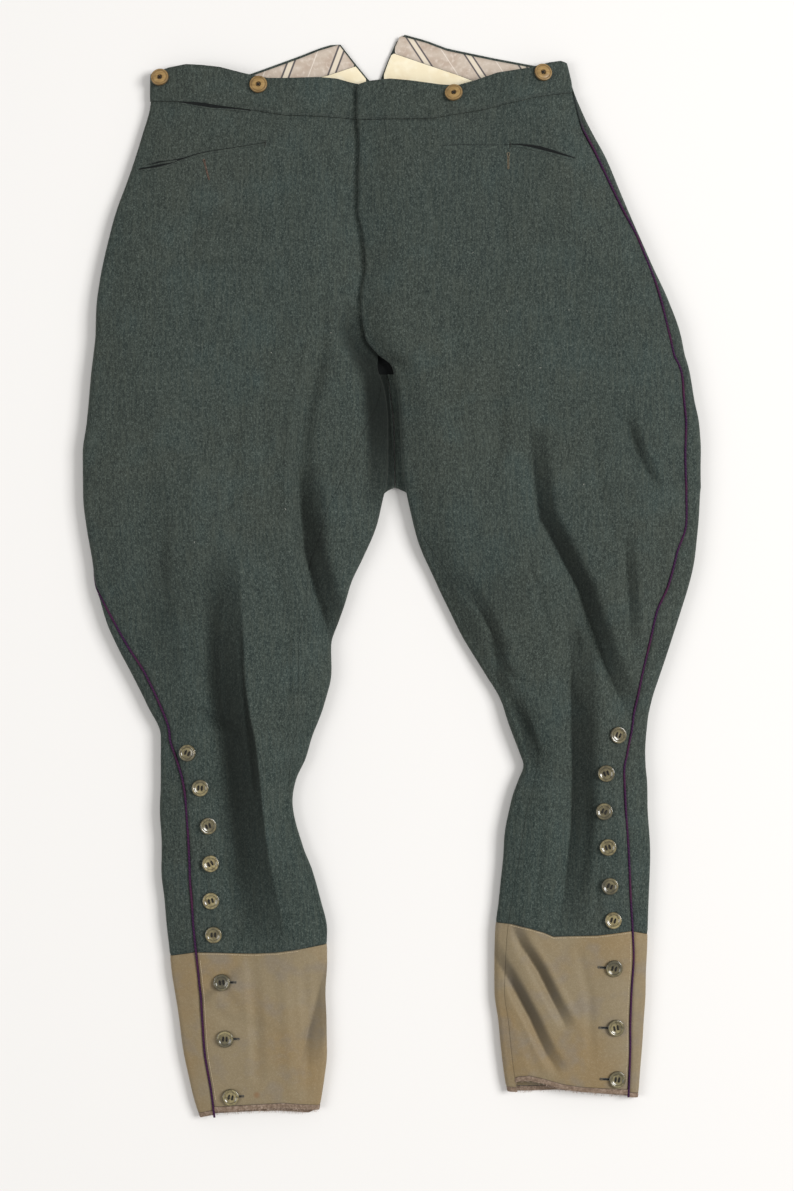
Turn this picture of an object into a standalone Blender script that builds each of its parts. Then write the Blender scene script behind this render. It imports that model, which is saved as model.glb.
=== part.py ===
"""Riding breeches in melange wool and twill canvas, laid flat with the front side up.

Lengths in the tables are millimetres: x to the right of the middle, y towards the waist,
z up from the surface the garment lies on. "Right" and "left" are the wearer's, so the
right leg has negative x. Every panel of a leg follows one line round the leg, which the
section tables give: under the leg, round its outer edge, over the top and, below the
crotch, round its inner edge.
"""

import math

import bpy
import numpy as np
from mathutils import Vector
from mathutils.bvhtree import BVHTree

MM = 0.001

# Cloth and trim thicknesses
WOOL_WALL = 2.0
CANVAS_WALL = 1.8
BAND_WALL = 2.6
BAND_PROUD = 0.6
BINDING_WALL = 2.2
BINDING_PROUD = 0.3
BINDING_WIDTH = 4.6
LINING_WALL = 1.2
WELT_WALL = 1.3
WELT_WIDTH = 4.5

# Distances between pieces
SEAM_GAP = 0.45
INSEAM_GAP = 0.8
REST_GAP = 0.35
PIPING_RADIUS = 1.25
PIPING_ROOM = 0.45
PIPING_SINK = 0.6

# The seat between the legs: the backs are joined there by a low web of cloth
CROTCH_Y = 200.0
FORK_Y = 87.0
WEB_TOP = 5.2
WEB_CORNER = 1.5
FLY_FLAT = 5.0

# Buttons
LEG_BUTTON_RADIUS = 8.4
LEG_BUTTON_HEIGHT = 2.9
LEG_BUTTON_SIDES = 10
BRACE_BUTTON_RADIUS = 8.9
BRACE_BUTTON_HEIGHT = 2.6
BRACE_BUTTON_SIDES = 12

# Mesh steps: quads along each stretch of a leg's line
FRONT_COLUMNS = 19
OUTER_ROLL_COLUMNS = 4
INNER_ROLL_COLUMNS = 7
TURN_WEIGHT = 2.0
SHARE_SMOOTHING = 8
RIM_STEP = 1.2
NARROWEST_FOLD = 12.0

SECTION_COLUMNS = ("y", "outer", "outseam", "inner", "inseam")
# outer and inner: x of the leg's two edges seen from above; above the crotch, inner is
# the fly line. outseam and inseam: how far each seam lies in from its edge, on the top;
# a negative value is measured along the cloth, down round the edge.
RIGHT_SECTIONS = (
    (512, -241, -2, -35, 2),
    (471, -241, -2, -36, 2),
    (440, -249, -4, -34, 2),
    (410, -258, -5, -33, 2),
    (365, -274, -6, -34, 2),
    (320, -286, -7, -27, 2),
    (275, -294, -7, -32, 2),
    (237, -296, -7, -39, 2),
    (219, -298, -7, -27, 2),
    (200, -300, -7, -13, 0),
    (175, -302, -7, -6, 7),
    (150, -304, -7, -4, 21),
    (120, -308, -7, -4, 36),
    (87, -308, -7, -5, 49),
    (81, -308, -7, -7, 51),
    (50, -305, -6, -15, 55),
    (17, -299, -4, -29, 53),
    (-7, -296, -1, -40, 48),
    (-27, -290, 3, -46, 44),
    (-47, -284, 8, -53, 39),
    (-70, -274, 11, -60, 34),
    (-100, -259, 15, -61, 34),
    (-130, -244, 14, -68, 28),
    (-160, -231, 10, -79, 20),
    (-182, -231, 17, -86, 16),
    (-205, -231, 24, -96, 6),
    (-225, -231, 27, -99, 2),
    (-270, -230, 29, -89, 3),
    (-295, -230, 30, -79, 4),
    (-325, -227, 29, -71, 4),
    (-355, -224, 28, -65, 1),
    (-385, -221, 28, -65, -3),
    (-415, -217, 27, -66, -4),
    (-445, -212, 24, -65, -4),
    (-475, -208, 22, -65, -4),
    (-505, -202, 21, -68, -3),
    (-545, -191, 15, -75, -1),
)
LEFT_SECTIONS = (
    (516, 173, -2, -35, 0),
    (481, 182, 1, -35, 0),
    (455, 193, 6, -35, 0),
    (440, 201, 9, -34, 0),
    (419, 212, 9, -33, 0),
    (365, 235, 6, -34, 0),
    (335, 248, 3, -29, 0),
    (305, 261, 4, -27, 0),
    (275, 275, 8, -31, 0),
    (237, 288, 12, -27, 0),
    (219, 292, 12, -14, 0),
    (209, 295, 10, -1, -1),
    (200, 297, 9, 2, -2),
    (175, 301, 11, 6, -2),
    (150, 306, 14, 8, -2),
    (120, 308, 17, 9, -2),
    (87, 308, 16, 13, -2),
    (81, 307, 15, 14, -1),
    (50, 305, 13, 21, 3),
    (20, 302, 20, 31, 12),
    (-10, 296, 22, 45, 22),
    (-37, 288, 26, 58, 33),
    (-65, 279, 23, 72, 34),
    (-100, 267, 19, 94, 28),
    (-125, 259, 16, 108, 23),
    (-145, 255, 16, 115, 25),
    (-177, 253, 20, 127, 18),
    (-190, 253, 23, 131, 13),
    (-205, 254, 24, 126, 16),
    (-225, 255, 24, 119, 18),
    (-255, 256, 23, 113, 18),
    (-285, 257, 22, 110, 16),
    (-325, 256, 19, 106, 13),
    (-355, 255, 16, 103, 12),
    (-385, 254, 14, 102, 11),
    (-415, 253, 15, 102, 10),
    (-445, 251, 14, 106, 10),
    (-475, 249, 12, 109, 10),
    (-505, 247, 11, 113, 10),
    (-530, 245, 10, 118, 10),
)

HEIGHT_COLUMNS = ("y", "roll", "crest", "shoulder", "inner_top", "inner_roll", "inner_shoulder", "lap")
# roll and inner_roll: radii of the rolled edges. crest: height between them, reached over
# each shoulder's width. inner_top: height at the fly line or the inner edge. lap: how far
# the right front runs on, flat, under the left one.
RIGHT_HEIGHTS = (
    (512, 4.5, 13, 45, 8, 2, 40, 12),
    (440, 5.5, 17, 50, 8, 2, 45, 12),
    (320, 7, 21, 60, 8, 2, 45, 12),
    (275, 7.5, 22, 60, 8, 2, 30, 14),
    (237, 8, 23, 60, 7, 2, 20, 24),
    (219, 8, 24, 60, 7, 2, 18, 15),
    (200, 8, 24, 60, 15, 7.5, 26, 0),
    (120, 8, 25, 65, 17, 8, 40, 0),
    (50, 8, 25, 65, 16, 8, 40, 0),
    (-70, 8, 24, 50, 15, 7.5, 36, 0),
    (-160, 7.5, 23, 40, 15, 7.5, 35, 0),
    (-270, 7, 22, 40, 14, 7, 35, 0),
    (-385, 6, 19, 40, 12, 6, 35, 0),
    (-475, 5.5, 16, 35, 11, 5.5, 32, 0),
    (-545, 4.5, 13, 30, 9, 4.5, 30, 0),
)
LEFT_HEIGHTS = (
    (516, 4.5, 15, 45, 13.4, 3, 40, 0),
    (440, 5.5, 19, 50, 13.4, 3, 45, 0),
    (320, 7, 22, 60, 13.4, 3, 45, 0),
    (237, 8, 25, 60, 12.8, 3, 32, 0),
    (219, 8, 26, 60, 13.2, 3.5, 26, 0),
    (209, 8, 26, 60, 15, 5, 26, 0),
    (200, 8, 26, 60, 17, 8, 26, 0),
    (120, 8, 27, 65, 18, 8, 40, 0),
    (50, 8, 27, 65, 16, 7.5, 40, 0),
    (-10, 8, 27, 60, 12, 6, 36, 0),
    (-65, 8, 27, 50, 11, 5.5, 38, 0),
    (-100, 8, 26, 45, 12, 6, 32, 0),
    (-160, 7.5, 24, 40, 15, 7.5, 30, 0),
    (-270, 7, 22, 40, 14, 7, 35, 0),
    (-385, 6, 19, 40, 12, 6, 35, 0),
    (-475, 5.5, 16, 35, 11, 5.5, 32, 0),
    (-530, 4.5, 13, 30, 9, 4.5, 30, 0),
)

# Each fold: its leg, its rise, its reach to the left and to the right, and its path. The
# rise is the height of a ridge or, when negative, the depth of a trough along the path.
FOLDS = (
    # Right leg: the long trough down to the knee, its steep wall and the crest beside it
    ("right", -14, 24, 7, ((-156, 2), (-153, -30), (-150, -95), (-143, -140), (-138, -180), (-134, -225), (-128, -270))),
    ("right", 3, 10, 26, ((-146, -20), (-141, -95), (-134, -150), (-128, -200), (-122, -255))),
    ("right", -7, 26, 20, ((-134, -225), (-131, -270), (-122, -330), (-116, -365))),
    ("right", -6, 30, 30, ((-248, 110), (-242, 30), (-238, -40), (-222, -85), (-208, -122))),
    ("right", -4, 10, 12, ((-212, -148), (-192, -140), (-172, -150), (-158, -158))),
    # Right leg: inner thigh, and the fold that crosses the inseam
    ("right", -7, 14, 16, ((-67, 255), (-76, 205), (-87, 160), (-91, 110), (-90, 60), (-82, 30))),
    ("right", 3, 10, 10, ((-79, 240), (-88, 190), (-99, 140), (-102, 95), (-100, 60))),
    ("right", -9, 8, 24, ((-88, 25), (-77, -18), (-66, -48), (-61, -62))),
    ("right", 3, 7, 8, ((-96, -62), (-96, -120), (-98, -165))),
    ("right", 3, 8, 8, ((-102, -215), (-90, -270), (-76, -330))),
    # Right hip wrinkles
    ("right", -3, 12, 12, ((-240, 365), (-190, 352), (-130, 343))),
    ("right", -3, 10, 10, ((-238, 318), (-185, 308), (-128, 306))),
    ("right", -3, 12, 14, ((-75, 428), (-62, 390), (-54, 345))),
    ("right", -3, 14, 12, ((-190, 428), (-155, 430))),
    # Left leg: the diagonal ridge and the dark valley beside it
    ("left", 5, 30, 9, ((138, 132), (146, 52), (160, 30), (176, 2), (190, -28), (197, -68), (212, -105), (220, -138))),
    ("left", -13, 8, 20, ((176, -5), (190, -42), (203, -78), (215, -112), (225, -138))),
    ("left", -5, 14, 14, ((231, 155), (240, 108), (258, 90))),
    ("left", -5, 16, 14, ((233, 30), (238, 0), (238, -42), (233, -62))),
    # Left leg: the crest down the knee with its valley, and the dimple
    ("left", 4, 14, 6, ((168, -45), (170, -120), (170, -205), (160, -295), (158, -345))),
    ("left", -11, 6, 16, ((174, -155), (178, -200), (178, -245))),
    ("left", -5, 8, 8, ((180, -55), (184, -75))),
    ("left", -4, 10, 9, ((172, -168), (190, -164), (206, -172))),
    # Left inner knee creases
    ("left", -5, 8, 8, ((112, -120), (128, -142), (142, -172))),
    ("left", 3, 7, 8, ((131, -190), (125, -225), (117, -280))),
    ("left", -4, 16, 18, ((98, 195), (104, 150), (100, 100))),
    ("left", -3, 14, 14, ((140, 318), (190, 305), (246, 300))),
    # Canvas below the knee
    ("left", -5, 7, 14, ((122, -353), (141, -381), (160, -410), (169, -432), (181, -454))),
    ("left", -5, 7, 14, ((104, -376), (126, -403), (137, -432), (148, -454), (169, -485))),
    ("right", -3, 9, 12, ((-140, -385), (-136, -440), (-134, -500))),
)

# Lines across a leg, as x and y: where the pieces of a leg begin and end
BAND_TOP = {
    "right": (
        (-241, 499), (-222, 505), (-205, 508), (-188, 507), (-171, 505), (-148, 499),
        (-124, 494), (-107, 494), (-73, 495), (-55, 494), (-38, 490), (-22, 487),
    ),
    "left": (
        (-36, 487), (-24, 491), (-2, 493), (19, 491), (48, 487), (64, 486), (82, 491),
        (105, 499), (137, 504), (157, 510), (168, 512), (178, 509),
    ),
}
WAIST_SEAM = {
    "right": ((-241, 472), (-212, 471), (-176, 467), (-138, 462), (-107, 457), (-73, 456), (-22, 454)),
    "left": ((-36, 453), (37, 453), (55, 456), (91, 462), (118, 469), (144, 475), (162, 478), (180, 481)),
}
BACK_TOP = {
    "right": ((-241, 494), (-148, 498), (-93, 518), (-73, 526), (-53, 532), (-40, 515), (-31, 504), (-22, 493)),
    "left": ((-12, 493), (-7, 505), (-4, 514), (8, 541), (34, 534), (55, 526), (103, 516), (146, 508), (178, 500)),
}
CANVAS_SEAM = {
    "right": ((-220, -379), (-196, -375), (-174, -375), (-137, -376), (-115, -375), (-93, -372), (-63, -367)),
    "left": ((106, -346), (118, -347), (137, -351), (151, -355), (160, -359), (203, -358), (238, -354), (257, -358)),
}
FRONT_HEM = {
    "right": ((-195, -535), (-176, -534), (-145, -532), (-108, -530), (-73, -533)),
    "left": ((113, -509), (126, -504), (137, -503), (151, -506), (169, -511), (187, -514), (235, -517), (247, -521)),
}
BACK_HEM = {
    "right": ((-192, -541), (-180, -538), (-145, -536), (-115, -535), (-82, -537), (-75, -533), (-60, -533)),
    "left": ((116, -515), (138, -515), (166, -514), (208, -518), (247, -521)),
}
CENTRE_BACK = {
    "right": ((-22.2, 493), (-17.2, 478), (-6.2, 209)),
    "left": ((-12.0, 493), (-16.8, 478), (-5.8, 209)),
}
WEB_MIDDLE = ((-5, 200), (-3, 191), (2, 150), (2.5, 120), (3, 81))
BACK_COLUMNS = {
    "right": (0, 0.3, 0.6, 0.76, 0.856, 0.93, 1),
    "left": (0, 0.3, 0.6, 0.78, 0.889, 0.96, 1),
}

# Fishtail lining: where the satin ends and the cream cotton begins
SATIN_END = {
    "right": ((-150, 474), (-92, 492), (-73, 497), (-64, 499), (-37, 508)),
    "left": ((2, 521), (37, 509), (64, 500), (85, 492), (140, 474)),
}
SATIN_SPAN = {"right": (-148, -38), "left": (3, 138)}
CREAM_SPAN = {"right": (-148, -26), "left": (-8, 138)}
PIPING_START = {"right": 465, "left": 445}
CREAM_DROP = 26.0
LINING_INSET = 2.6

POCKET_MOUTH = {
    "right": ((-247, 404), (-220, 411), (-188, 417), (-150, 425), (-124, 430)),
    "left": ((47, 425), (90, 427), (119, 427), (144, 424), (162, 420), (181, 413)),
}

LEG_BUTTONS = {
    "right": (
        (-202.6, -176.7), (-190.4, -211.4), (-182.6, -249.0), (-180.1, -286.4), (-179.4, -323.2),
        (-176.8, -356.8), (-168.6, -404.5), (-165.6, -460.7), (-160.3, -519.1),
    ),
    "left": (
        (223.9, -158.7), (212.2, -196.6), (210.3, -234.5), (214.0, -269.9), (216.0, -308.6),
        (219.3, -342.7), (220.3, -390.5), (222.2, -450.0), (223.8, -501.6),
    ),
}
BRACE_BUTTONS = {"right": ((-231.0, 495.0), (-132.7, 487.0)), "left": ((61.4, 478.0), (150.0, 499.0))}

SIDE = {"right": 1.0, "left": -1.0}  # direction of x from the outer edge to the inner one
SECTIONS = {"right": RIGHT_SECTIONS, "left": LEFT_SECTIONS}
HEIGHTS = {"right": RIGHT_HEIGHTS, "left": LEFT_HEIGHTS}


def smooth_read(places, values, at):
    """A smooth curve through a table's values that never overshoots them, read at `at`."""
    places = np.asarray(places, float)
    values = np.asarray(values, float)
    order = np.argsort(places)
    places, values = places[order], values[order]
    step = np.diff(places)
    slope = np.diff(values) / step
    bend = np.concatenate([slope[:1], np.zeros(len(slope) - 1), slope[-1:]])
    same = slope[:-1] * slope[1:] > 0
    steady = 2 * slope[:-1] * slope[1:] / np.where(same, slope[:-1] + slope[1:], 1)
    bend[1:-1] = np.where(same, steady, 0)
    at = np.clip(at, places[0], places[-1])
    i = np.clip(np.searchsorted(places, at) - 1, 0, len(step) - 1)
    u = (at - places[i]) / step[i]
    start = (1 + 2 * u) * (1 - u) ** 2 * values[i] + u * (1 - u) ** 2 * step[i] * bend[i]
    end = u * u * (3 - 2 * u) * values[i + 1] + u * u * (u - 1) * step[i] * bend[i + 1]
    return start + end


def section_value(leg, name, y):
    table = np.array(SECTIONS[leg], float)
    return smooth_read(table[:, 0], table[:, SECTION_COLUMNS.index(name)], y)


def height_value(leg, name, y):
    table = np.array(HEIGHTS[leg], float)
    return smooth_read(table[:, 0], table[:, HEIGHT_COLUMNS.index(name)], y)


def line_y(line, x):
    """The y of a line across a leg at x."""
    points = np.array(line, float)
    return np.interp(x, points[:, 0], points[:, 1])


def line_x(line, y):
    """The x of a line along the body at y."""
    points = np.array(line, float)[::-1]
    return np.interp(y, points[:, 1], points[:, 0])


def shoulder(distance, width):
    """0 at an edge, 1 once the cloth has risen over its shoulder."""
    return np.sin(np.clip(distance / width, 0, 1) * math.pi / 2)


def fold_height(leg, x, y):
    """What the folds add to the cloth's height at x and y."""
    total = np.zeros(np.broadcast(x, y).shape)
    for fold_leg, rise, left_width, right_width, path in FOLDS:
        if fold_leg != leg:
            continue
        nodes = np.array(path, float)
        lengths = np.linalg.norm(np.diff(nodes, axis=0), axis=1)
        along = np.concatenate([[0], np.cumsum(lengths)]) / lengths.sum()
        nearest = np.full(total.shape, np.inf)
        side = np.zeros(total.shape)
        place = np.zeros(total.shape)
        for k in range(len(lengths)):
            a, b = nodes[k], nodes[k + 1]
            direction = (b - a) / lengths[k]
            run = np.clip((x - a[0]) * direction[0] + (y - a[1]) * direction[1], 0, lengths[k])
            dx = x - a[0] - run * direction[0]
            dy = y - a[1] - run * direction[1]
            distance = np.hypot(dx, dy)
            closer = distance < nearest
            nearest = np.where(closer, distance, nearest)
            side = np.where(closer, dx * abs(direction[1]) + dy * direction[0], side)
            place = np.where(closer, along[k] + run / lengths[k] * (along[k + 1] - along[k]), place)
        width = np.where(side < 0, max(left_width, NARROWEST_FOLD), max(right_width, NARROWEST_FOLD))
        profile = (1 + np.cos(math.pi * np.clip(nearest / width, 0, 1))) / 2
        ends = np.sin(math.pi * np.clip(0.06 + 0.88 * place, 0, 1)) ** 0.5
        total += rise * profile * ends
    return total


def cloth_height(leg, x, y):
    """Height of the upper layer's outer face, away from the rolled edges."""
    outer_roll = height_value(leg, "roll", y)
    inner_roll = height_value(leg, "inner_roll", y)
    crest = height_value(leg, "crest", y)
    inner_top = height_value(leg, "inner_top", y)
    from_outer = SIDE[leg] * (x - section_value(leg, "outer", y)) - outer_roll
    from_inner = SIDE[leg] * (section_value(leg, "inner", y) - x)
    from_inner = from_inner - np.where(height_value(leg, "lap", y) > 0, FLY_FLAT, inner_roll)
    low_outer = 1 - shoulder(from_outer, height_value(leg, "shoulder", y))
    low_inner = 1 - shoulder(from_inner, height_value(leg, "inner_shoulder", y))
    plain = crest - (crest - 2 * outer_roll) * low_outer - (crest - inner_top) * low_inner
    calm = np.clip(from_outer / 12, 0, 1) * np.clip(from_inner / 12, 0, 1)
    folds = fold_height(leg, x, y) * calm
    lowest = WOOL_WALL + LINING_WALL + WOOL_WALL + 2 * REST_GAP
    return np.maximum(plain + folds, lowest)


def arc(centre, radius, start, end, count):
    """Points of an arc in the plane of a section, angles in turns from +x."""
    angle = np.linspace(start, end, count) * 2 * math.pi
    return np.stack([centre[0] + radius * np.cos(angle), centre[1] + radius * np.sin(angle)], axis=1)


def leg_line(leg, y, steps=64):
    """The line round a leg at y, as points (x, z), and where its landmarks lie along it.

    It starts under the leg near the middle of the garment, runs out to the outer edge,
    round it and over the top to the inner edge, and below the crotch round that too.
    """
    outer = float(section_value(leg, "outer", y))
    inner = float(section_value(leg, "inner", y)) + SIDE[leg] * float(height_value(leg, "lap", y))
    roll = float(height_value(leg, "roll", y))
    inner_roll = float(height_value(leg, "inner_roll", y))
    width = SIDE[leg] * (inner - outer)
    across = np.linspace(roll, width - inner_roll, steps)
    tops = cloth_height(leg, outer + SIDE[leg] * across, np.full(steps, float(y)))
    closed = y <= CROTCH_Y
    web = closed and y >= FORK_Y
    if not closed:
        start = SIDE[leg] * (float(line_x(CENTRE_BACK[leg], y)) - outer)
    elif web:
        start = SIDE[leg] * (float(line_x(WEB_MIDDLE, y)) - outer) - WEB_TOP / 2 - SEAM_GAP / 2
    else:
        start = width - inner_roll
    parts = [
        [(start, 0.0)],
        arc((roll, roll), roll, 0.75, 0.5, 9),
        arc((roll, tops[0] - roll), roll, 0.5, 0.25, 9),
        np.stack([across, tops], axis=1)[1:-1],
        arc((width - inner_roll, tops[-1] - inner_roll), inner_roll, 0.25, 0.0, 9),
    ]
    if web:
        corner = (width + WEB_CORNER, WEB_TOP + WEB_CORNER)
        parts.append(arc(corner, WEB_CORNER, 0.5, 0.75, 5))
        parts.append(arc((start, WEB_TOP / 2), WEB_TOP / 2, 0.25, -0.25, 7))
    elif closed:
        parts.append(arc((width - inner_roll, inner_roll), inner_roll, 0.0, -0.25, 9))
    counts = [len(part) for part in parts]
    line = np.concatenate([np.asarray(part, float).reshape(-1, 2) for part in parts])
    length = np.concatenate([[0], np.cumsum(np.linalg.norm(np.diff(line, axis=0), axis=1))])
    outer_edge = length[sum(counts[:2])]
    inner_edge = length[sum(counts[:5]) - 1]
    marks = {
        "foot": length[1],
        "outseam": outer_edge + along_cloth(float(section_value(leg, "outseam", y)), roll),
        "inseam": inner_edge - along_cloth(float(section_value(leg, "inseam", y)), inner_roll),
        "end": length[-1],
    }
    line[:, 0] = outer + SIDE[leg] * line[:, 0]
    return line, length, marks


def along_cloth(inset, roll):
    """A seam's distance from an edge, measured along the cloth that rolls round it."""
    if inset < 0:
        return inset
    if inset < roll:
        return roll * math.acos(1 - inset / roll)
    return roll * math.pi / 2 + inset - roll


def even_shares(line, length, first, last, columns):
    """Shares of the way from first to last along a line, closer together where it bends."""
    fine = np.linspace(first, last, 12 * columns)
    points = np.stack([np.interp(fine, length, line[:, k]) for k in (0, 1)], axis=1)
    slope = np.unwrap(np.arctan2(*np.diff(points, axis=0).T[::-1]))
    turning = np.abs(np.diff(slope, prepend=slope[0], append=slope[-1]))
    cost = np.full(len(fine), 1 / 12) + TURN_WEIGHT * turning
    cost = np.convolve(np.pad(cost, 6, mode="edge"), np.ones(13) / 13, mode="valid")
    total = np.concatenate([[0], np.cumsum(cost[:-1])])
    return np.interp(np.linspace(0, total[-1], columns + 1), total, np.linspace(0, 1, len(fine)))


def columns_of(leg, panel, rows):
    """For each row, the points (x, y, z) of a panel's columns on the leg's line.

    Beside a seam the first column is a short step in, so that the wall's rim stands square.
    """
    half = INSEAM_GAP / 2
    beside_piping = PIPING_RADIUS + PIPING_ROOM
    lines = [leg_line(leg, y) for y in rows]
    spans = []
    shares = []
    for line, length, marks in lines:
        if panel == "front":
            seams = (marks["outseam"] + beside_piping, marks["inseam"] - half)
            span = (seams[0] + RIM_STEP, seams[1] - RIM_STEP)
            shares.append(even_shares(line, length, *span, FRONT_COLUMNS))
        elif panel == "under":
            seams = (marks["outseam"] - beside_piping,)
            span = (marks["foot"], seams[0] - RIM_STEP)
            shares.append(even_shares(line, length, *span, OUTER_ROLL_COLUMNS))
        else:
            seams = (marks["inseam"] + half,)
            span = (seams[0] + RIM_STEP, marks["end"])
            shares.append(even_shares(line, length, *span, INNER_ROLL_COLUMNS))
        spans.append((seams, span))
    shares = np.array(shares)
    for _ in range(SHARE_SMOOTHING):
        shares[1:-1] = (shares[:-2] + 2 * shares[1:-1] + shares[2:]) / 4
    result = []
    for y, (line, length, marks), (seams, span), share in zip(rows, lines, spans, shares):
        at = span[0] + share * (span[1] - span[0])
        if panel == "front":
            at = np.concatenate([[seams[0]], at, [seams[1]]])
        elif panel == "under":
            bottom = marks["foot"] * (1 - np.array(BACK_COLUMNS[leg]))
            at = np.concatenate([bottom[:0:-1], at, [seams[0]]])
        else:
            at = np.concatenate([[seams[0]], at])
        result.append(
            np.stack([np.interp(at, length, line[:, 0]), np.full(len(at), y), np.interp(at, length, line[:, 1])], axis=1)
        )
    return np.array(result)


def at_height(columns, j, y):
    """The point of column j at y, between the rows of the leg's sheet."""
    rows = columns[::-1, j, 1]
    return np.array([np.interp(y, rows, columns[::-1, j, 0]), y, np.interp(y, rows, columns[::-1, j, 2])])


def between(leg, columns, top_line, bottom_line, top_fade=70.0, bottom_fade=70.0):
    """The part of a leg's sheet between two lines across it, its rows bent to follow them.

    The rows stay straight at the outer edge, so that all pieces share them there.
    """
    count = columns.shape[1]
    ends = []
    for line in (top_line, bottom_line):
        outermost = float(line[0 if leg == "right" else -1][1])
        found = np.full(count, outermost)
        for _ in range(12):
            found = np.array([float(line_y(line, at_height(columns, j, found[j])[0])) for j in range(count)])
        ends.append((outermost, found - outermost))
    (high, top_shift), (low, bottom_shift) = ends
    margin = 5.0
    longest = 0.8 * (high - low)
    grid = []
    for y in [high, *(y for y in columns[:, 0, 1] if low + margin < y < high - margin), low]:
        up = max(0.0, 1 - (high - y) / min(top_fade, longest))
        down = max(0.0, 1 - (y - low) / min(bottom_fade, longest))
        places = y + top_shift * up + bottom_shift * down
        grid.append([at_height(columns, j, places[j]) for j in range(count)])
    return np.array(grid)


def srgb(red, green, blue):
    """A colour given as it looks on a screen, as Blender's linear values."""
    return tuple(
        ((c / 255 + 0.055) / 1.055) ** 2.4 if c > 10 else c / 255 / 12.92 for c in (red, green, blue)
    ) + (1.0,)


def make_material(name, colour, roughness):
    material = bpy.data.materials.new(name)
    material.use_nodes = True
    shader = material.node_tree.nodes["Principled BSDF"]
    shader.inputs["Base Color"].default_value = colour
    shader.inputs["Roughness"].default_value = roughness
    shader.inputs["Metallic"].default_value = 0.0
    return material


def sheet_object(name, blocks, wall, material, proud=0.0):
    """A cloth wall on grids of points, (rows, columns, 3), that share a column where they meet."""
    points = {}
    vertices = []
    faces = []
    for grid in blocks:
        rows, columns = grid.shape[:2]
        index = np.empty((rows, columns), int)
        for i in range(rows):
            for j in range(columns):
                key = tuple(np.round(grid[i, j], 4))
                if key not in points:
                    points[key] = len(vertices)
                    vertices.append(grid[i, j] * MM)
                index[i, j] = points[key]
        for i in range(rows - 1):
            for j in range(columns - 1):
                faces.append((index[i, j], index[i + 1, j], index[i + 1, j + 1], index[i, j + 1]))
    mesh = bpy.data.meshes.new(name)
    mesh.from_pydata(vertices, [], faces)
    mesh.materials.append(material)
    mesh.update()
    piece = bpy.data.objects.new(name, mesh)
    PIECES.objects.link(piece)
    solidify = piece.modifiers.new("Wall", "SOLIDIFY")
    solidify.thickness = wall * MM
    solidify.offset = -1.0 + 2.0 * proud / wall
    return piece


def outward(leg, grid):
    """Turns a grid so that its faces point away from the leg."""
    return grid if leg == "right" else grid[:, ::-1]


def piping_tube(leg, rows, material):
    """The cord in the outseam, from the waist seam to the hem."""
    points = []
    for y in rows:
        line, length, marks = leg_line(leg, y)
        here, ahead = (
            np.array([np.interp(marks["outseam"] + step, length, line[:, k]) for k in (0, 1)])
            for step in (-0.5, 0.5)
        )
        tangent = (ahead - here) / np.linalg.norm(ahead - here)
        inward = np.array([tangent[1], -tangent[0]]) * SIDE[leg]
        x, z = (here + ahead) / 2 + inward * PIPING_SINK
        points.append((x, y, max(z, PIPING_RADIUS)))
    curve = bpy.data.curves.new("piping_" + leg, "CURVE")
    curve.dimensions = "3D"
    curve.bevel_depth = PIPING_RADIUS * MM
    curve.bevel_resolution = 1
    curve.use_fill_caps = True
    spline = curve.splines.new("POLY")
    spline.points.add(len(points) - 1)
    for target, point in zip(spline.points, points):
        target.co = (point[0] * MM, point[1] * MM, point[2] * MM, 1.0)
    curve.materials.append(material)
    tube = bpy.data.objects.new("piping_" + leg, curve)
    PIECES.objects.link(tube)
    return tube


def flat_sheet(name, span, upper, lower, columns, top_z, wall, material):
    """A flat strip between two lines, given as functions of x."""
    xs = np.linspace(span[0], span[1], columns + 1)
    grid = np.array([[(x, edge(x), top_z) for x in xs] for edge in (upper, lower)])
    return sheet_object(name, [grid], wall, material)


def make_lining(leg, satin, cream):
    """The satin and the cream cotton that line a flap of the fishtail back."""
    top_z = WOOL_WALL + REST_GAP + LINING_WALL

    def flap_edge(x):
        return float(line_y(BACK_TOP[leg], x)) - LINING_INSET

    def satin_end(x):
        return float(line_y(SATIN_END[leg], x))

    def cream_top(x):
        return min(satin_end(x) - SEAM_GAP, flap_edge(x))

    def cream_bottom(x):
        return min(float(line_y(BAND_TOP[leg], x)) - CREAM_DROP, cream_top(x) - 3.0)

    flat_sheet("fishtail_satin_" + leg, SATIN_SPAN[leg], flap_edge, satin_end, 10, top_z, LINING_WALL, satin)
    flat_sheet("fishtail_cotton_" + leg, CREAM_SPAN[leg], cream_top, cream_bottom, 10, top_z, LINING_WALL, cream)


def surface_tree(pieces):
    """The upper faces of the cloth, to seat a button or a welt on them."""
    graph = bpy.context.evaluated_depsgraph_get()
    return [BVHTree.FromObject(piece, graph) for piece in pieces]


def top_of(trees, x, y):
    """Height of the cloth's highest face at x and y, in millimetres, or None off the cloth."""
    heights = []
    for tree in trees:
        hit = tree.ray_cast(Vector((x * MM, y * MM, 1.0)), Vector((0, 0, -1)))
        if hit[0] is not None:
            heights.append(hit[0].z / MM)
    return max(heights) if heights else None


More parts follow.
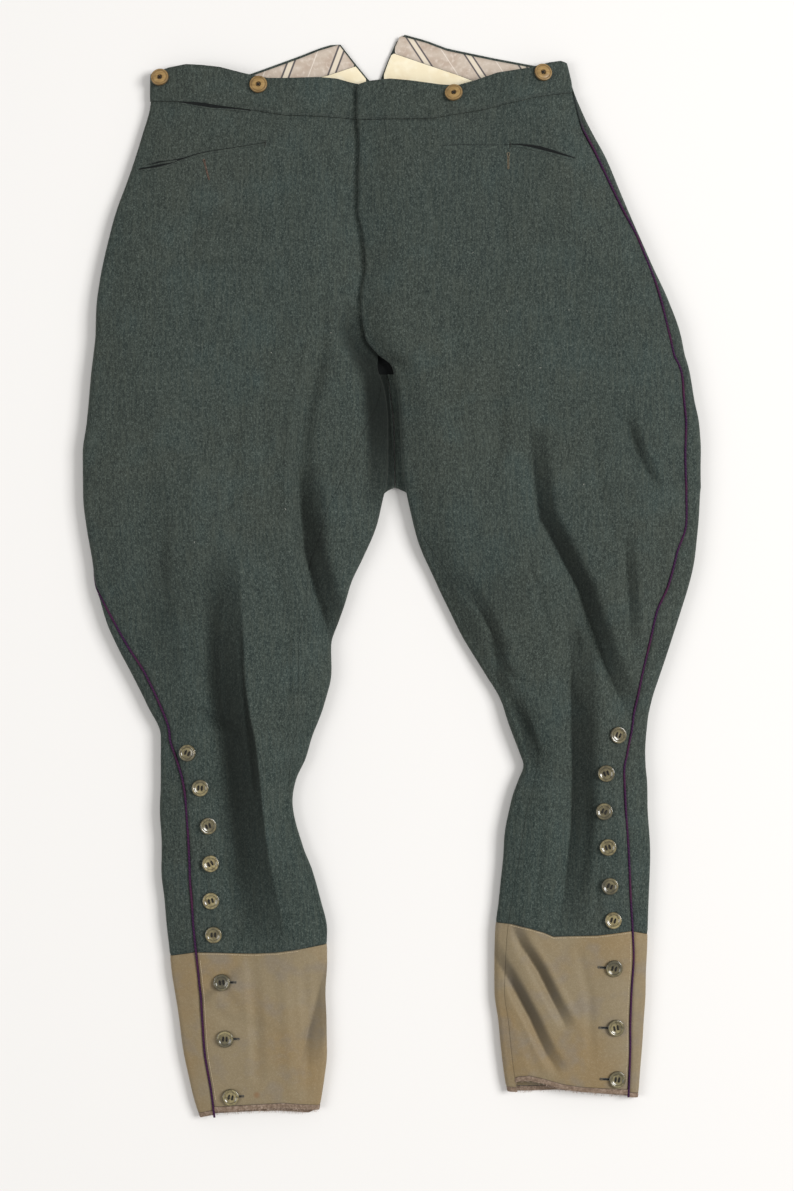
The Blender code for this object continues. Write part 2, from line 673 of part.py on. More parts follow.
def seat(trees, x, y, radius):
    """Where a disc rests on the cloth: its centre and its axis."""
    rim = [(0.0, 0.0)] + [
        (reach * radius * math.cos(turn * math.pi / 6), reach * radius * math.sin(turn * math.pi / 6))
        for turn in range(12)
        for reach in (0.5, 1.0)
    ]
    found = [(dx, dy, top_of(trees, x + dx, y + dy)) for dx, dy in rim]
    found = np.array([(dx, dy, z) for dx, dy, z in found if z is not None])
    design = np.column_stack([found[:, :2], np.ones(len(found))])
    slope = np.linalg.lstsq(design, found[:, 2], rcond=None)[0]
    slope[:2] = np.clip(slope[:2], -0.45, 0.45)
    lift = (found[:, 2] - found[:, :2] @ slope[:2]).max()
    return Vector((x, y, lift + REST_GAP)) * MM, Vector((-slope[0], -slope[1], 1)).normalized()


def button_mesh(name, radius, height, sides, material):
    """A turned button: a rounded rim round a dished middle, open side down."""
    profile = (
        (0.0, 0.62 * height), (0.55 * radius, 0.66 * height), (0.76 * radius, height),
        (radius, 0.55 * height), (0.8 * radius, 0.0), (0.0, 0.0),
    )
    mesh = bpy.data.meshes.new(name)
    mesh.from_pydata([(x * MM, 0, z * MM) for x, z in profile], [(i, i + 1) for i in range(len(profile) - 1)], [])
    mesh.materials.append(material)
    turned = bpy.data.objects.new(name, mesh)
    screw = turned.modifiers.new("Turn", "SCREW")
    screw.steps = sides
    screw.render_steps = sides
    screw.use_merge_vertices = True
    screw.merge_threshold = 0.00001
    screw.use_smooth_shade = True
    return turned


def add_button(name, trees, place, radius, height, sides, material):
    piece = button_mesh(name, radius, height, sides, material)
    PIECES.objects.link(piece)
    location, axis = seat(trees, place[0], place[1], radius)
    piece.location = location
    piece.rotation_mode = "QUATERNION"
    piece.rotation_quaternion = Vector((0, 0, 1)).rotation_difference(axis)
    return piece


def add_welt(leg, trees, material):
    """The strip of cloth that edges the slanted pocket's mouth."""
    mouth = POCKET_MOUTH[leg]
    xs = np.linspace(mouth[0][0], mouth[-1][0], 13)
    grid = []
    for drop in (0.0, WELT_WIDTH):
        row = []
        for x in xs:
            y = float(line_y(mouth, x)) - drop
            row.append((x, y, top_of(trees, x, y) + REST_GAP + 0.25 + WELT_WALL))
        grid.append(row)
    return sheet_object("pocket_welt_" + leg, [np.array(grid)], WELT_WALL, material)


def make_leg(leg, cloth):
    """All the pieces of one leg, from the waist to the hem."""
    rows = [row[0] for row in SECTIONS[leg]]
    front = columns_of(leg, "front", rows)
    under = columns_of(leg, "under", rows)
    closed_rows = [y for y in rows if y <= CROTCH_Y]
    inner = columns_of(leg, "inner", closed_rows)

    seam = CANVAS_SEAM[leg]
    above = tuple((x, y + SEAM_GAP / 2) for x, y in seam)
    below = tuple((x, y - SEAM_GAP / 2) for x, y in seam)
    hem_front = FRONT_HEM[leg]
    hem_back = BACK_HEM[leg]
    bound_front = tuple((x, y + BINDING_WIDTH) for x, y in hem_front)
    bound_back = tuple((x, y + BINDING_WIDTH) for x, y in hem_back)
    canvas_front_end = tuple((x, y + SEAM_GAP) for x, y in bound_front)
    canvas_back_end = tuple((x, y + SEAM_GAP) for x, y in bound_back)
    front_top = tuple((x, y - SEAM_GAP) for x, y in WAIST_SEAM[leg])
    crotch_line = ((-400, CROTCH_Y), (400, CROTCH_Y))

    def panel(name, grids, wall, material, proud=0.0):
        return sheet_object(name + "_" + leg, [outward(leg, grid) for grid in grids], wall, material, proud)

    pieces = [
        panel("front", [between(leg, front, front_top, above)], WOOL_WALL, cloth["wool"]),
        panel(
            "back",
            [between(leg, under, BACK_TOP[leg], above, 130.0), between(leg, inner, crotch_line, above)],
            WOOL_WALL,
            cloth["wool"],
        ),
        panel("canvas_front", [between(leg, front, below, canvas_front_end)], CANVAS_WALL, cloth["canvas"]),
        panel(
            "canvas_back",
            [between(leg, under, below, canvas_back_end), between(leg, inner, below, canvas_back_end)],
            CANVAS_WALL,
            cloth["canvas"],
        ),
        panel("waistband", [between(leg, front, BAND_TOP[leg], WAIST_SEAM[leg])], BAND_WALL, cloth["wool"], BAND_PROUD),
        panel("binding_front", [between(leg, front, bound_front, hem_front)], BINDING_WALL, cloth["tape"], BINDING_PROUD),
        panel(
            "binding_back",
            [between(leg, under, bound_back, hem_back), between(leg, inner, bound_back, hem_back)],
            BINDING_WALL,
            cloth["tape"],
            0.0,
        ),
    ]
    seam_rows = [y for y in rows if hem_back[0][1] < y < PIPING_START[leg]]
    piping_tube(leg, seam_rows, cloth["piping"])
    make_lining(leg, cloth["satin"], cloth["cotton"])
    bpy.context.view_layer.update()
    trees = surface_tree([piece for piece in pieces if "back" not in piece.name])
    add_welt(leg, trees, cloth["wool"])
    for number, place in enumerate(LEG_BUTTONS[leg], 1):
        name = f"leg_button_{leg}_{number}"
        add_button(name, trees, place, LEG_BUTTON_RADIUS, LEG_BUTTON_HEIGHT, LEG_BUTTON_SIDES, cloth["horn"])
    for number, place in enumerate(BRACE_BUTTONS[leg], 1):
        name = f"brace_button_{leg}_{number}"
        add_button(name, trees, place, BRACE_BUTTON_RADIUS, BRACE_BUTTON_HEIGHT, BRACE_BUTTON_SIDES, cloth["nut"])


for leftover in list(bpy.data.objects):
    bpy.data.objects.remove(leftover, do_unlink=True)

PIECES = bpy.data.collections.new("riding_breeches")
bpy.context.scene.collection.children.link(PIECES)

CLOTH = {
    "wool": make_material("melange_wool", srgb(68, 75, 71), 0.95),
    "canvas": make_material("khaki_twill", srgb(138, 124, 104), 0.9),
    "tape": make_material("hem_tape", srgb(122, 102, 86), 0.9),
    "satin": make_material("striped_satin", srgb(204, 190, 174), 0.5),
    "cotton": make_material("cream_cotton", srgb(238, 228, 202), 0.85),
    "piping": make_material("purple_piping", srgb(60, 25, 65), 0.7),
    "horn": make_material("olive_horn", srgb(154, 138, 101), 0.35),
    "nut": make_material("tan_nut", srgb(182, 153, 115), 0.45),
}

for leg_name in ("right", "left"):
    make_leg(leg_name, CLOTH)
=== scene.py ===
# %% [markdown]
# # Riding breeches, laid flat
#
# High-waisted riding breeches in dark melange wool, close on the calf, with lower legs of
# khaki canvas. They lie on their back on a pale surface and are seen from straight above.
# The CAD model already has every panel as a plain wall. Here each panel is made again as
# cloth, on the same lines, with its folds, seams, stitching and trim.
#
# Lengths in the tables are millimetres: x to the right of the middle, y towards the waist,
# z up from the surface. "Right" and "left" are the wearer's, so the right leg has negative
# x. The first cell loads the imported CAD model, which gives the space that each piece fills.

import math

import bmesh
import bpy
import numpy as np
from mathutils import Matrix, Vector
from mathutils.bvhtree import BVHTree


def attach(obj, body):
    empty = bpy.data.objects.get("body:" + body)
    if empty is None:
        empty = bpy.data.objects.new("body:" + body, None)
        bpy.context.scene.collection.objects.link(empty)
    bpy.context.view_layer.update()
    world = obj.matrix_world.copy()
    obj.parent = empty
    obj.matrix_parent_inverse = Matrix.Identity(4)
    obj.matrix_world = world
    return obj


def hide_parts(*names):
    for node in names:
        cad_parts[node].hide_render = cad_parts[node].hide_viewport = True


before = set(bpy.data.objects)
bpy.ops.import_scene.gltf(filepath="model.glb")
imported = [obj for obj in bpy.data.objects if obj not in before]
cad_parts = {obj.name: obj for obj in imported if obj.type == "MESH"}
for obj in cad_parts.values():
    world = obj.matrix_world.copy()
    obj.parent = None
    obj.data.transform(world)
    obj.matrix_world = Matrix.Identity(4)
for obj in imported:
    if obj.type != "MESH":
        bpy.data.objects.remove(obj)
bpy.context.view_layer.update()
MM = 0.001

# %% [markdown]
# ## The outline of each leg
#
# A maker drafts a leg as a few widths at chosen heights. These tables do the same: where
# the leg's outer and inner edge lie, and how far each seam lies in from its edge on the
# top side. Above the crotch, inner is the fly line. A negative seam value is measured
# along the cloth, down round the edge. They are the same numbers as in the CAD part.

# %% Edges and seams of the legs
SECTION_COLUMNS = ("y", "outer", "outseam", "inner", "inseam")
RIGHT_SECTIONS = (
    (512, -241, -2, -35, 2),
    (471, -241, -2, -36, 2),
    (440, -249, -4, -34, 2),
    (410, -258, -5, -33, 2),
    (365, -274, -6, -34, 2),
    (320, -286, -7, -27, 2),
    (275, -294, -7, -32, 2),
    (237, -296, -7, -39, 2),
    (219, -298, -7, -27, 2),
    (200, -300, -7, -13, 0),
    (175, -302, -7, -6, 7),
    (150, -304, -7, -4, 21),
    (120, -308, -7, -4, 36),
    (87, -308, -7, -5, 49),
    (81, -308, -7, -7, 51),
    (50, -305, -6, -15, 55),
    (17, -299, -4, -29, 53),
    (-7, -296, -1, -40, 48),
    (-27, -290, 3, -46, 44),
    (-47, -284, 8, -53, 39),
    (-70, -274, 11, -60, 34),
    (-100, -259, 15, -61, 34),
    (-130, -244, 14, -68, 28),
    (-160, -231, 10, -79, 20),
    (-182, -231, 17, -86, 16),
    (-205, -231, 24, -96, 6),
    (-225, -231, 27, -99, 2),
    (-270, -230, 29, -89, 3),
    (-295, -230, 30, -79, 4),
    (-325, -227, 29, -71, 4),
    (-355, -224, 28, -65, 1),
    (-385, -221, 28, -65, -3),
    (-415, -217, 27, -66, -4),
    (-445, -212, 24, -65, -4),
    (-475, -208, 22, -65, -4),
    (-505, -202, 21, -68, -3),
    (-545, -191, 15, -75, -1),
)
LEFT_SECTIONS = (
    (516, 173, -2, -35, 0),
    (481, 182, 1, -35, 0),
    (455, 193, 6, -35, 0),
    (440, 201, 9, -34, 0),
    (419, 212, 9, -33, 0),
    (365, 235, 6, -34, 0),
    (335, 248, 3, -29, 0),
    (305, 261, 4, -27, 0),
    (275, 275, 8, -31, 0),
    (237, 288, 12, -27, 0),
    (219, 292, 12, -14, 0),
    (209, 295, 10, -1, -1),
    (200, 297, 9, 2, -2),
    (175, 301, 11, 6, -2),
    (150, 306, 14, 8, -2),
    (120, 308, 17, 9, -2),
    (87, 308, 16, 13, -2),
    (81, 307, 15, 14, -1),
    (50, 305, 13, 21, 3),
    (20, 302, 20, 31, 12),
    (-10, 296, 22, 45, 22),
    (-37, 288, 26, 58, 33),
    (-65, 279, 23, 72, 34),
    (-100, 267, 19, 94, 28),
    (-125, 259, 16, 108, 23),
    (-145, 255, 16, 115, 25),
    (-177, 253, 20, 127, 18),
    (-190, 253, 23, 131, 13),
    (-205, 254, 24, 126, 16),
    (-225, 255, 24, 119, 18),
    (-255, 256, 23, 113, 18),
    (-285, 257, 22, 110, 16),
    (-325, 256, 19, 106, 13),
    (-355, 255, 16, 103, 12),
    (-385, 254, 14, 102, 11),
    (-415, 253, 15, 102, 10),
    (-445, 251, 14, 106, 10),
    (-475, 249, 12, 109, 10),
    (-505, 247, 11, 113, 10),
    (-530, 245, 10, 118, 10),
)

# %% Heights of the two layers of cloth
# roll and inner_roll: radii of the rolled edges. crest: height between them, reached over
# each shoulder's width. inner_top: height at the fly line or the inner edge. lap: how far
# the right front runs on, flat, under the left one.
HEIGHT_COLUMNS = (
    "y", "roll", "crest", "shoulder", "inner_top", "inner_roll", "inner_shoulder", "lap",
)
RIGHT_HEIGHTS = (
    (512, 4.5, 13, 45, 8, 2, 40, 12),
    (440, 5.5, 17, 50, 8, 2, 45, 12),
    (320, 7, 21, 60, 8, 2, 45, 12),
    (275, 7.5, 22, 60, 8, 2, 30, 14),
    (237, 8, 23, 60, 7, 2, 20, 24),
    (219, 8, 24, 60, 7, 2, 18, 15),
    (200, 8, 24, 60, 15, 7.5, 26, 0),
    (120, 8, 25, 65, 17, 8, 40, 0),
    (50, 8, 25, 65, 16, 8, 40, 0),
    (-70, 8, 24, 50, 15, 7.5, 36, 0),
    (-160, 7.5, 23, 40, 15, 7.5, 35, 0),
    (-270, 7, 22, 40, 14, 7, 35, 0),
    (-385, 6, 19, 40, 12, 6, 35, 0),
    (-475, 5.5, 16, 35, 11, 5.5, 32, 0),
    (-545, 4.5, 13, 30, 9, 4.5, 30, 0),
)
LEFT_HEIGHTS = (
    (516, 4.5, 15, 45, 13.4, 3, 40, 0),
    (440, 5.5, 19, 50, 13.4, 3, 45, 0),
    (320, 7, 22, 60, 13.4, 3, 45, 0),
    (237, 8, 25, 60, 12.8, 3, 32, 0),
    (219, 8, 26, 60, 13.2, 3.5, 26, 0),
    (209, 8, 26, 60, 15, 5, 26, 0),
    (200, 8, 26, 60, 17, 8, 26, 0),
    (120, 8, 27, 65, 18, 8, 40, 0),
    (50, 8, 27, 65, 16, 7.5, 40, 0),
    (-10, 8, 27, 60, 12, 6, 36, 0),
    (-65, 8, 27, 50, 11, 5.5, 38, 0),
    (-100, 8, 26, 45, 12, 6, 32, 0),
    (-160, 7.5, 24, 40, 15, 7.5, 30, 0),
    (-270, 7, 22, 40, 14, 7, 35, 0),
    (-385, 6, 19, 40, 12, 6, 35, 0),
    (-475, 5.5, 16, 35, 11, 5.5, 32, 0),
    (-530, 4.5, 13, 30, 9, 4.5, 30, 0),
)

# %% [markdown]
# ## Where the pieces begin and end
#
# Lines across a leg, as x and y: the edges of the waistband, the raised back, the seam
# between wool and canvas, and the hems. The back ends lower than the front at the hem,
# so its binding shows below the front one.

# %% Lines across the legs
BAND_TOP = {
    "right": (
        (-241, 499), (-222, 505), (-205, 508), (-188, 507), (-171, 505), (-148, 499),
        (-124, 494), (-107, 494), (-73, 495), (-55, 494), (-38, 490), (-22, 487),
    ),
    "left": (
        (-36, 487), (-24, 491), (-2, 493), (19, 491), (48, 487), (64, 486), (82, 491),
        (105, 499), (137, 504), (157, 510), (168, 512), (178, 509),
    ),
}
WAIST_SEAM = {
    "right": (
        (-241, 472), (-212, 471), (-176, 467), (-138, 462), (-107, 457), (-73, 456), (-22, 454),
    ),
    "left": (
        (-36, 453), (37, 453), (55, 456), (91, 462), (118, 469), (144, 475), (162, 478),
        (180, 481),
    ),
}
BACK_TOP = {
    "right": (
        (-241, 494), (-148, 498), (-93, 518), (-73, 526), (-53, 532), (-40, 515), (-31, 504),
        (-22, 493),
    ),
    "left": (
        (-12, 493), (-7, 505), (-4, 514), (8, 541), (34, 534), (55, 526), (103, 516), (146, 508),
        (178, 500),
    ),
}
CANVAS_SEAM = {
    "right": (
        (-220, -379), (-196, -375), (-174, -375), (-137, -376), (-115, -375), (-93, -372),
        (-63, -367),
    ),
    "left": (
        (106, -346), (118, -347), (137, -351), (151, -355), (160, -359), (203, -358), (238, -354),
        (257, -358),
    ),
}
FRONT_HEM = {
    "right": ((-195, -535), (-176, -534), (-145, -532), (-108, -530), (-73, -533)),
    "left": (
        (113, -509), (126, -504), (137, -503), (151, -506), (169, -511), (187, -514), (235, -517),
        (247, -521),
    ),
}
BACK_HEM = {
    "right": (
        (-192, -541), (-180, -538), (-145, -536), (-115, -535), (-82, -537), (-75, -533),
        (-60, -533),
    ),
    "left": ((116, -515), (138, -515), (166, -514), (208, -518), (247, -521)),
}
CENTRE_BACK = {
    "right": ((-22.2, 493), (-17.2, 478), (-6.2, 209)),
    "left": ((-12.0, 493), (-16.8, 478), (-5.8, 209)),
}
WEB_MIDDLE = ((-5, 200), (-3, 191), (2, 150), (2.5, 120), (3, 81))
SATIN_END = {
    "right": ((-150, 474), (-92, 492), (-73, 497), (-64, 499), (-37, 508)),
    "left": ((2, 521), (37, 509), (64, 500), (85, 492), (140, 474)),
}
SATIN_SPAN = {"right": (-148, -38), "left": (3, 138)}
CREAM_SPAN = {"right": (-148, -26), "left": (-8, 138)}

# %% [markdown]
# ## Folds
#
# A fold is a long low ridge or trough, and it is described as a maker would point at it:
# where it runs, how high or deep it is, and how far it reaches to each side. The big ones
# are in the CAD part too. Here they keep their true narrow sides, and the small creases
# join them, so the light breaks on the cloth as it does on real wool.

# %% Main folds
# Each one: its leg, its rise (a trough is negative), its reach to the left and to the
# right, and its path as x and y.
FOLDS = (
    # Right leg: the hollows beside the knee fold and along the outer edge
    ("right", -6, 30, 24, (
        (-178, 10), (-180, -40), (-182, -100), (-178, -160), (-170, -220), (-160, -290),
        (-150, -350))),
    ("right", -7, 30, 30, ((-248, 110), (-242, 30), (-238, -40), (-222, -85), (-208, -122))),
    ("right", -6, 10, 12, ((-216, -146), (-192, -140), (-172, -150), (-158, -158))),
    # Right leg: inner thigh, and the fold that crosses the inseam
    ("right", -7, 14, 16, ((-67, 255), (-76, 205), (-87, 160), (-91, 110), (-90, 60), (-82, 30))),
    ("right", 3, 10, 10, ((-79, 240), (-88, 190), (-99, 140), (-102, 95), (-100, 60))),
    ("right", 3, 7, 8, ((-96, -62), (-96, -120), (-98, -165))),
    ("right", 4, 8, 8, ((-102, -215), (-90, -270), (-76, -330))),
    # Right hip wrinkles
    ("right", -3.5, 12, 12, ((-240, 365), (-190, 352), (-130, 343))),
    ("right", -3.5, 10, 10, ((-238, 318), (-185, 308), (-128, 306))),
    ("right", -4, 12, 14, ((-75, 428), (-62, 390), (-54, 345))),
    ("right", -3, 14, 12, ((-190, 428), (-155, 430))),
    # Left leg: hollows along the outer edge, and the inner knee
    ("left", -6, 14, 14, ((231, 155), (240, 108), (258, 90))),
    ("left", -5, 8, 8, ((180, -55), (184, -75))),
    ("left", -5, 8, 8, ((112, -120), (128, -142), (142, -172))),
    ("left", 3, 7, 8, ((131, -190), (125, -225), (117, -280))),
    ("left", -4, 16, 18, ((98, 195), (104, 150), (100, 100))),
    ("left", -3, 14, 14, ((140, 318), (190, 305), (246, 300))),
    # Canvas below the knee
    ("right", -3, 9, 12, ((-140, -385), (-136, -440), (-134, -500))),
)
# A sharp fold comes to an edge along its path. Its last number is how much shade is
# painted on the side that rises towards the right, away from the light.
SHARP_FOLDS = (
    # Right leg: the ledge down to the knee, and the bulge at the inner thigh
    ("right", 13, 46, 66, 1.1, (
        (-154, 26), (-150, 0), (-148, -30), (-146, -60), (-145, -95), (-142, -120), (-139, -140),
        (-134, -162), (-130, -195), (-126, -240), (-119, -290), (-110, -330), (-104, -376))),
    # Right leg: hardly a fold, but painted shade where it dips under the left leg
    ("right", 0.01, 33, 1, 1.25, (
        (-38, 272), (-24, 244), (-13, 220), (-4, 202), (0, 160), (2, 120), (2, 62))),
    ("right", -10, 14, 30, 1.0, (
        (-94, 110), (-91, 60), (-88, 22), (-76, -22), (-66, -52), (-61, -76))),
    # Left leg: the diagonal fold over the thigh, and the long one down the knee
    ("left", -13, 28, 22, 1.0, (
        (136, 150), (140, 95), (146, 55), (158, 34), (170, 11), (184, -15), (194, -45),
        (202, -68), (210, -90), (219, -108), (228, -128), (234, -146))),
    ("left", -9, 22, 32, 0.9, (
        (170, -35), (176, -75), (177, -130), (178, -200), (177, -250), (172, -300), (166, -350))),
    ("left", -5, 8, 14, 0.6, ((230, 40), (232, 0), (235, -40), (236, -68))),
    ("left", -4, 10, 12, 0.5, ((231, 155), (244, 120), (262, 84))),
    ("left", -5, 10, 16, 0.7, ((140, -196), (132, -172), (126, -150), (114, -124))),
    ("left", -4, 8, 16, 0.7, ((66, -4), (84, -30), (97, -57), (103, -85), (105, -120))),
    # Canvas: two slanting folds that run down to the hem
    ("left", -7, 8, 13, 1.3, (
        (117, -346), (129, -371), (137, -382), (145, -395), (153, -411), (161, -427), (174, -452))),
    ("left", -7, 8, 14, 1.4, (
        (94, -364), (105, -387), (113, -399), (121, -413), (129, -428), (137, -443), (145, -461),
        (153, -477), (166, -496))),
    ("right", -2, 8, 10, 0.5, ((-150, -388), (-166, -398), (-182, -410), (-196, -424))),
    ("right", -3, 5, 24, 0.8, ((-64, -376), (-70, -400), (-80, -440), (-92, -486))),
)

# Broad patches of painted shade on the wool: leg, amount, middle and reach both ways.
PAINTED_SHADE_PATCHES = (
    ("right", 0.26, -228, -50, 44, 90),
    ("right", 0.30, -128, -320, 34, 50),
    ("left", 0.24, 92, -15, 44, 44),
    ("left", 0.16, 152, -155, 32, 40),
)

# %% Small creases
CREASES = (
    # Right leg: sharp lips of the knee trough, and small pulls beside it
    ("right", -3, 5, 5, ((-151, -60), (-146, -120), (-141, -170), (-137, -215))),
    ("right", 1.6, 8, 6, ((-166, -20), (-171, -70), (-170, -120), (-165, -160))),
    ("right", -2.2, 12, 9, ((-182, -40), (-186, -90), (-180, -140))),
    ("right", -2.5, 9, 9, ((-206, -30), (-200, -75), (-192, -110))),
    ("right", -2, 8, 10, ((-225, 60), (-230, 10), (-226, -35))),
    ("right", 1.5, 16, 16, ((-200, 120), (-196, 40), (-186, -10))),
    ("right", -2, 14, 14, ((-150, 180), (-160, 110), (-158, 50))),
    ("right", -1.6, 12, 12, ((-120, 240), (-128, 170), (-124, 100), (-112, 50))),
    # Right leg: overlap edge at the inner thigh, and pulls running to the inseam
    ("right", -2.6, 4, 9, ((-88, 28), (-78, -15), (-68, -45), (-60, -60))),
    ("right", -2, 9, 12, ((-118, 10), (-108, -30), (-104, -75))),
    ("right", -1.8, 8, 8, ((-122, -110), (-112, -150), (-108, -190))),
    ("right", -2, 8, 10, ((-116, -220), (-108, -270), (-98, -320))),
    ("right", -1.5, 8, 8, ((-180, -200), (-170, -260), (-160, -330))),
    ("right", -1.6, 7, 7, ((-195, -250), (-185, -300), (-180, -350))),
    ("right", 1.2, 10, 10, ((-150, -290), (-146, -330), (-142, -370))),
    # Right hip and seat
    ("right", -1.5, 7, 7, ((-280, 330), (-240, 322), (-200, 322))),
    ("right", -1.5, 8, 8, ((-285, 285), (-230, 276), (-180, 282))),
    ("right", -1.2, 9, 9, ((-120, 420), (-112, 380), (-108, 330))),
    ("right", -1.4, 10, 10, ((-200, 400), (-196, 350), (-202, 300))),
    ("right", -1.8, 7, 9, ((-62, 330), (-66, 290), (-74, 250))),
    # Left hip
    ("left", -1.5, 9, 9, ((30, 400), (44, 350), (40, 300))),
    ("left", -1.4, 10, 10, ((100, 400), (112, 350), (108, 290))),
    ("left", -1.8, 8, 8, ((176, 360), (214, 350), (244, 352))),
    ("left", -1.5, 8, 9, ((186, 262), (226, 262), (262, 254))),
    ("left", -1.5, 9, 9, ((150, 240), (190, 228), (240, 226))),
    ("left", -1.6, 10, 10, ((60, 260), (66, 200), (58, 150))),
    # Left thigh: the fan of pulls above the diagonal ridge
    ("left", -2, 10, 10, ((196, 140), (206, 80), (222, 30))),
    ("left", -2.2, 8, 10, ((120, 110), (128, 40), (142, -10), (156, -60))),
    ("left", -1.6, 10, 10, ((262, 60), (266, 10), (258, -40))),
    ("left", -2, 8, 8, ((258, -50), (252, -90), (240, -130))),
    ("left", -2.5, 5, 8, ((178, -12), (192, -48), (206, -84), (218, -118))),
    ("left", 1.6, 9, 9, ((160, -40), (172, -84), (190, -124), (204, -152))),
    # Left knee
    ("left", -2.4, 6, 8, ((104, -84), (122, -104), (146, -116))),
    ("left", -2.2, 5, 8, ((122, -182), (142, -178), (162, -186))),
    ("left", -1.8, 8, 8, ((150, -240), (146, -290), (140, -340))),
    ("left", -1.8, 7, 9, ((190, -200), (194, -250), (186, -310))),
    ("left", 1.4, 9, 9, ((222, -200), (226, -260), (226, -330))),
    ("left", -1.6, 8, 8, ((206, -280), (202, -320), (206, -352))),
    # Canvas lower legs
    ("left", 1.4, 10, 8, ((136, -362), (154, -392), (172, -424), (188, -450))),
    ("left", -1.4, 8, 8, ((186, -374), (196, -420), (198, -480))),
    ("left", -1.2, 9, 9, ((124, -440), (136, -470), (146, -500))),
    ("right", -1.6, 10, 10, ((-188, -398), (-168, -412), (-150, -436))),
    ("right", -1.4, 10, 10, ((-186, -424), (-160, -444), (-120, -452))),
    ("right", 1.2, 10, 10, ((-110, -385), (-104, -440), (-100, -510))),
    ("right", -1.4, 8, 8, ((-88, -390), (-84, -450), (-84, -520))),
)

# %% Seams, walls and gaps
WOOL_WALL = 1.8
CANVAS_WALL = 1.6
BAND_WALL = 2.4
BAND_PROUD = 0.6
BINDING_WALL = 2.2
BINDING_PROUD = 0.5
BINDING_WIDTH = 4.6
LINING_WALL = 1.0
LINING_TOP = 3.55
SEAM_GAP = 0.45
INSEAM_GAP = 0.3
PIPING_RADIUS = 1.1
PIPING_ROOM = 0.15
CROTCH_Y = 200.0
FORK_Y = 87.0
FORK_END = 81.0
WEB_TOP = 5.2
WEB_CORNER = 1.5
FLY_FLAT = 5.0
ROW_STEP = 3.6
TOP_POINTS = 170
FOLD_ROOM = 70.0
CALM_EDGE = 12.0
LOWEST_TOP = LINING_TOP + WOOL_WALL + 0.8

SIDE = {"right": 1.0, "left": -1.0}  # direction of x from the outer edge to the inner one
SECTIONS = {"right": np.array(RIGHT_SECTIONS, float), "left": np.array(LEFT_SECTIONS, float)}
HEIGHTS = {"right": np.array(RIGHT_HEIGHTS, float), "left": np.array(LEFT_HEIGHTS, float)}

# %% [markdown]
# ## Reading the tables
#
# A panel's edge is a smooth line through the drafted points. A plain spline would swing
# past them, so the slope at each point is kept between those of its neighbours.

# %% Smooth curves through the tables
def smooth_read(places, values, at):
    """A smooth curve through a table's values that never overshoots them, read at `at`."""
    order = np.argsort(places)
    places, values = places[order], values[order]
    step = np.diff(places)
    slope = np.diff(values) / step
    same = slope[:-1] * slope[1:] > 0
    steady = 2 * slope[:-1] * slope[1:] / np.where(same, slope[:-1] + slope[1:], 1)
    bend = np.concatenate([slope[:1], np.where(same, steady, 0), slope[-1:]])
    at = np.clip(at, places[0], places[-1])
    i = np.clip(np.searchsorted(places, at) - 1, 0, len(step) - 1)
    u = (at - places[i]) / step[i]
    start = (1 + 2 * u) * (1 - u) ** 2 * values[i] + u * (1 - u) ** 2 * step[i] * bend[i]
    end = u * u * (3 - 2 * u) * values[i + 1] + u * u * (u - 1) * step[i] * bend[i + 1]
    return start + end


def section_value(leg, name, y):
    table = SECTIONS[leg]
    return smooth_read(table[:, 0], table[:, SECTION_COLUMNS.index(name)], y)


def height_value(leg, name, y):
    table = HEIGHTS[leg]
    return smooth_read(table[:, 0], table[:, HEIGHT_COLUMNS.index(name)], y)


def line_y(line, x):
    """The y of a line across a leg at x."""
    points = np.array(line, float)
    return np.interp(x, points[:, 0], points[:, 1])


def line_x(line, y):
    """The x of a line along the body at y."""
    points = np.array(line, float)[::-1]
    return np.interp(y, points[:, 1], points[:, 0])


knee = [round(float(section_value("right", edge, -150)), 1) for edge in ("outer", "inner")]
print("right leg at the knee:", knee, "mm")

# %% [markdown]
# ## The height of the cloth
#
# Seen from the side a laid leg is a low mound: it rises from each rolled edge over a
# shoulder, and the folds add to it. Each fold is a smooth hump round its path that fades
# at both ends.

# %% Height of the upper layer
def near_path(path, x, y):
    """For each point: its distance from a path, on which side it is, and its share along."""
    nodes = np.array(path, float)
    lengths = np.linalg.norm(np.diff(nodes, axis=0), axis=1)
    along = np.concatenate([[0], np.cumsum(lengths)]) / lengths.sum()
    shape = np.broadcast(x, y).shape
    nearest, side, place = np.full(shape, np.inf), np.zeros(shape), np.zeros(shape)
    for k in range(len(lengths)):
        a, b = nodes[k], nodes[k + 1]
        direction = (b - a) / lengths[k]
        run = np.clip((x - a[0]) * direction[0] + (y - a[1]) * direction[1], 0, lengths[k])
        dx = x - a[0] - run * direction[0]
        dy = y - a[1] - run * direction[1]
        distance = np.hypot(dx, dy)
        closer = distance < nearest
        nearest = np.where(closer, distance, nearest)
        side = np.where(closer, dx * abs(direction[1]) + dy * direction[0], side)
        place = np.where(closer, along[k] + run / lengths[k] * (along[k + 1] - along[k]), place)
    return nearest, side, place


def folds_near(folds, leg, x, y):
    """The folds that reach these places: their numbers, then distance, side and share."""
    for fold_leg, *numbers, path in folds:
        ys = [node[1] for node in path]
        reached = max(ys) + FOLD_ROOM >= np.min(y) and min(ys) - FOLD_ROOM <= np.max(y)
        if fold_leg == leg and reached:
            yield (*numbers, *near_path(path, x, y))


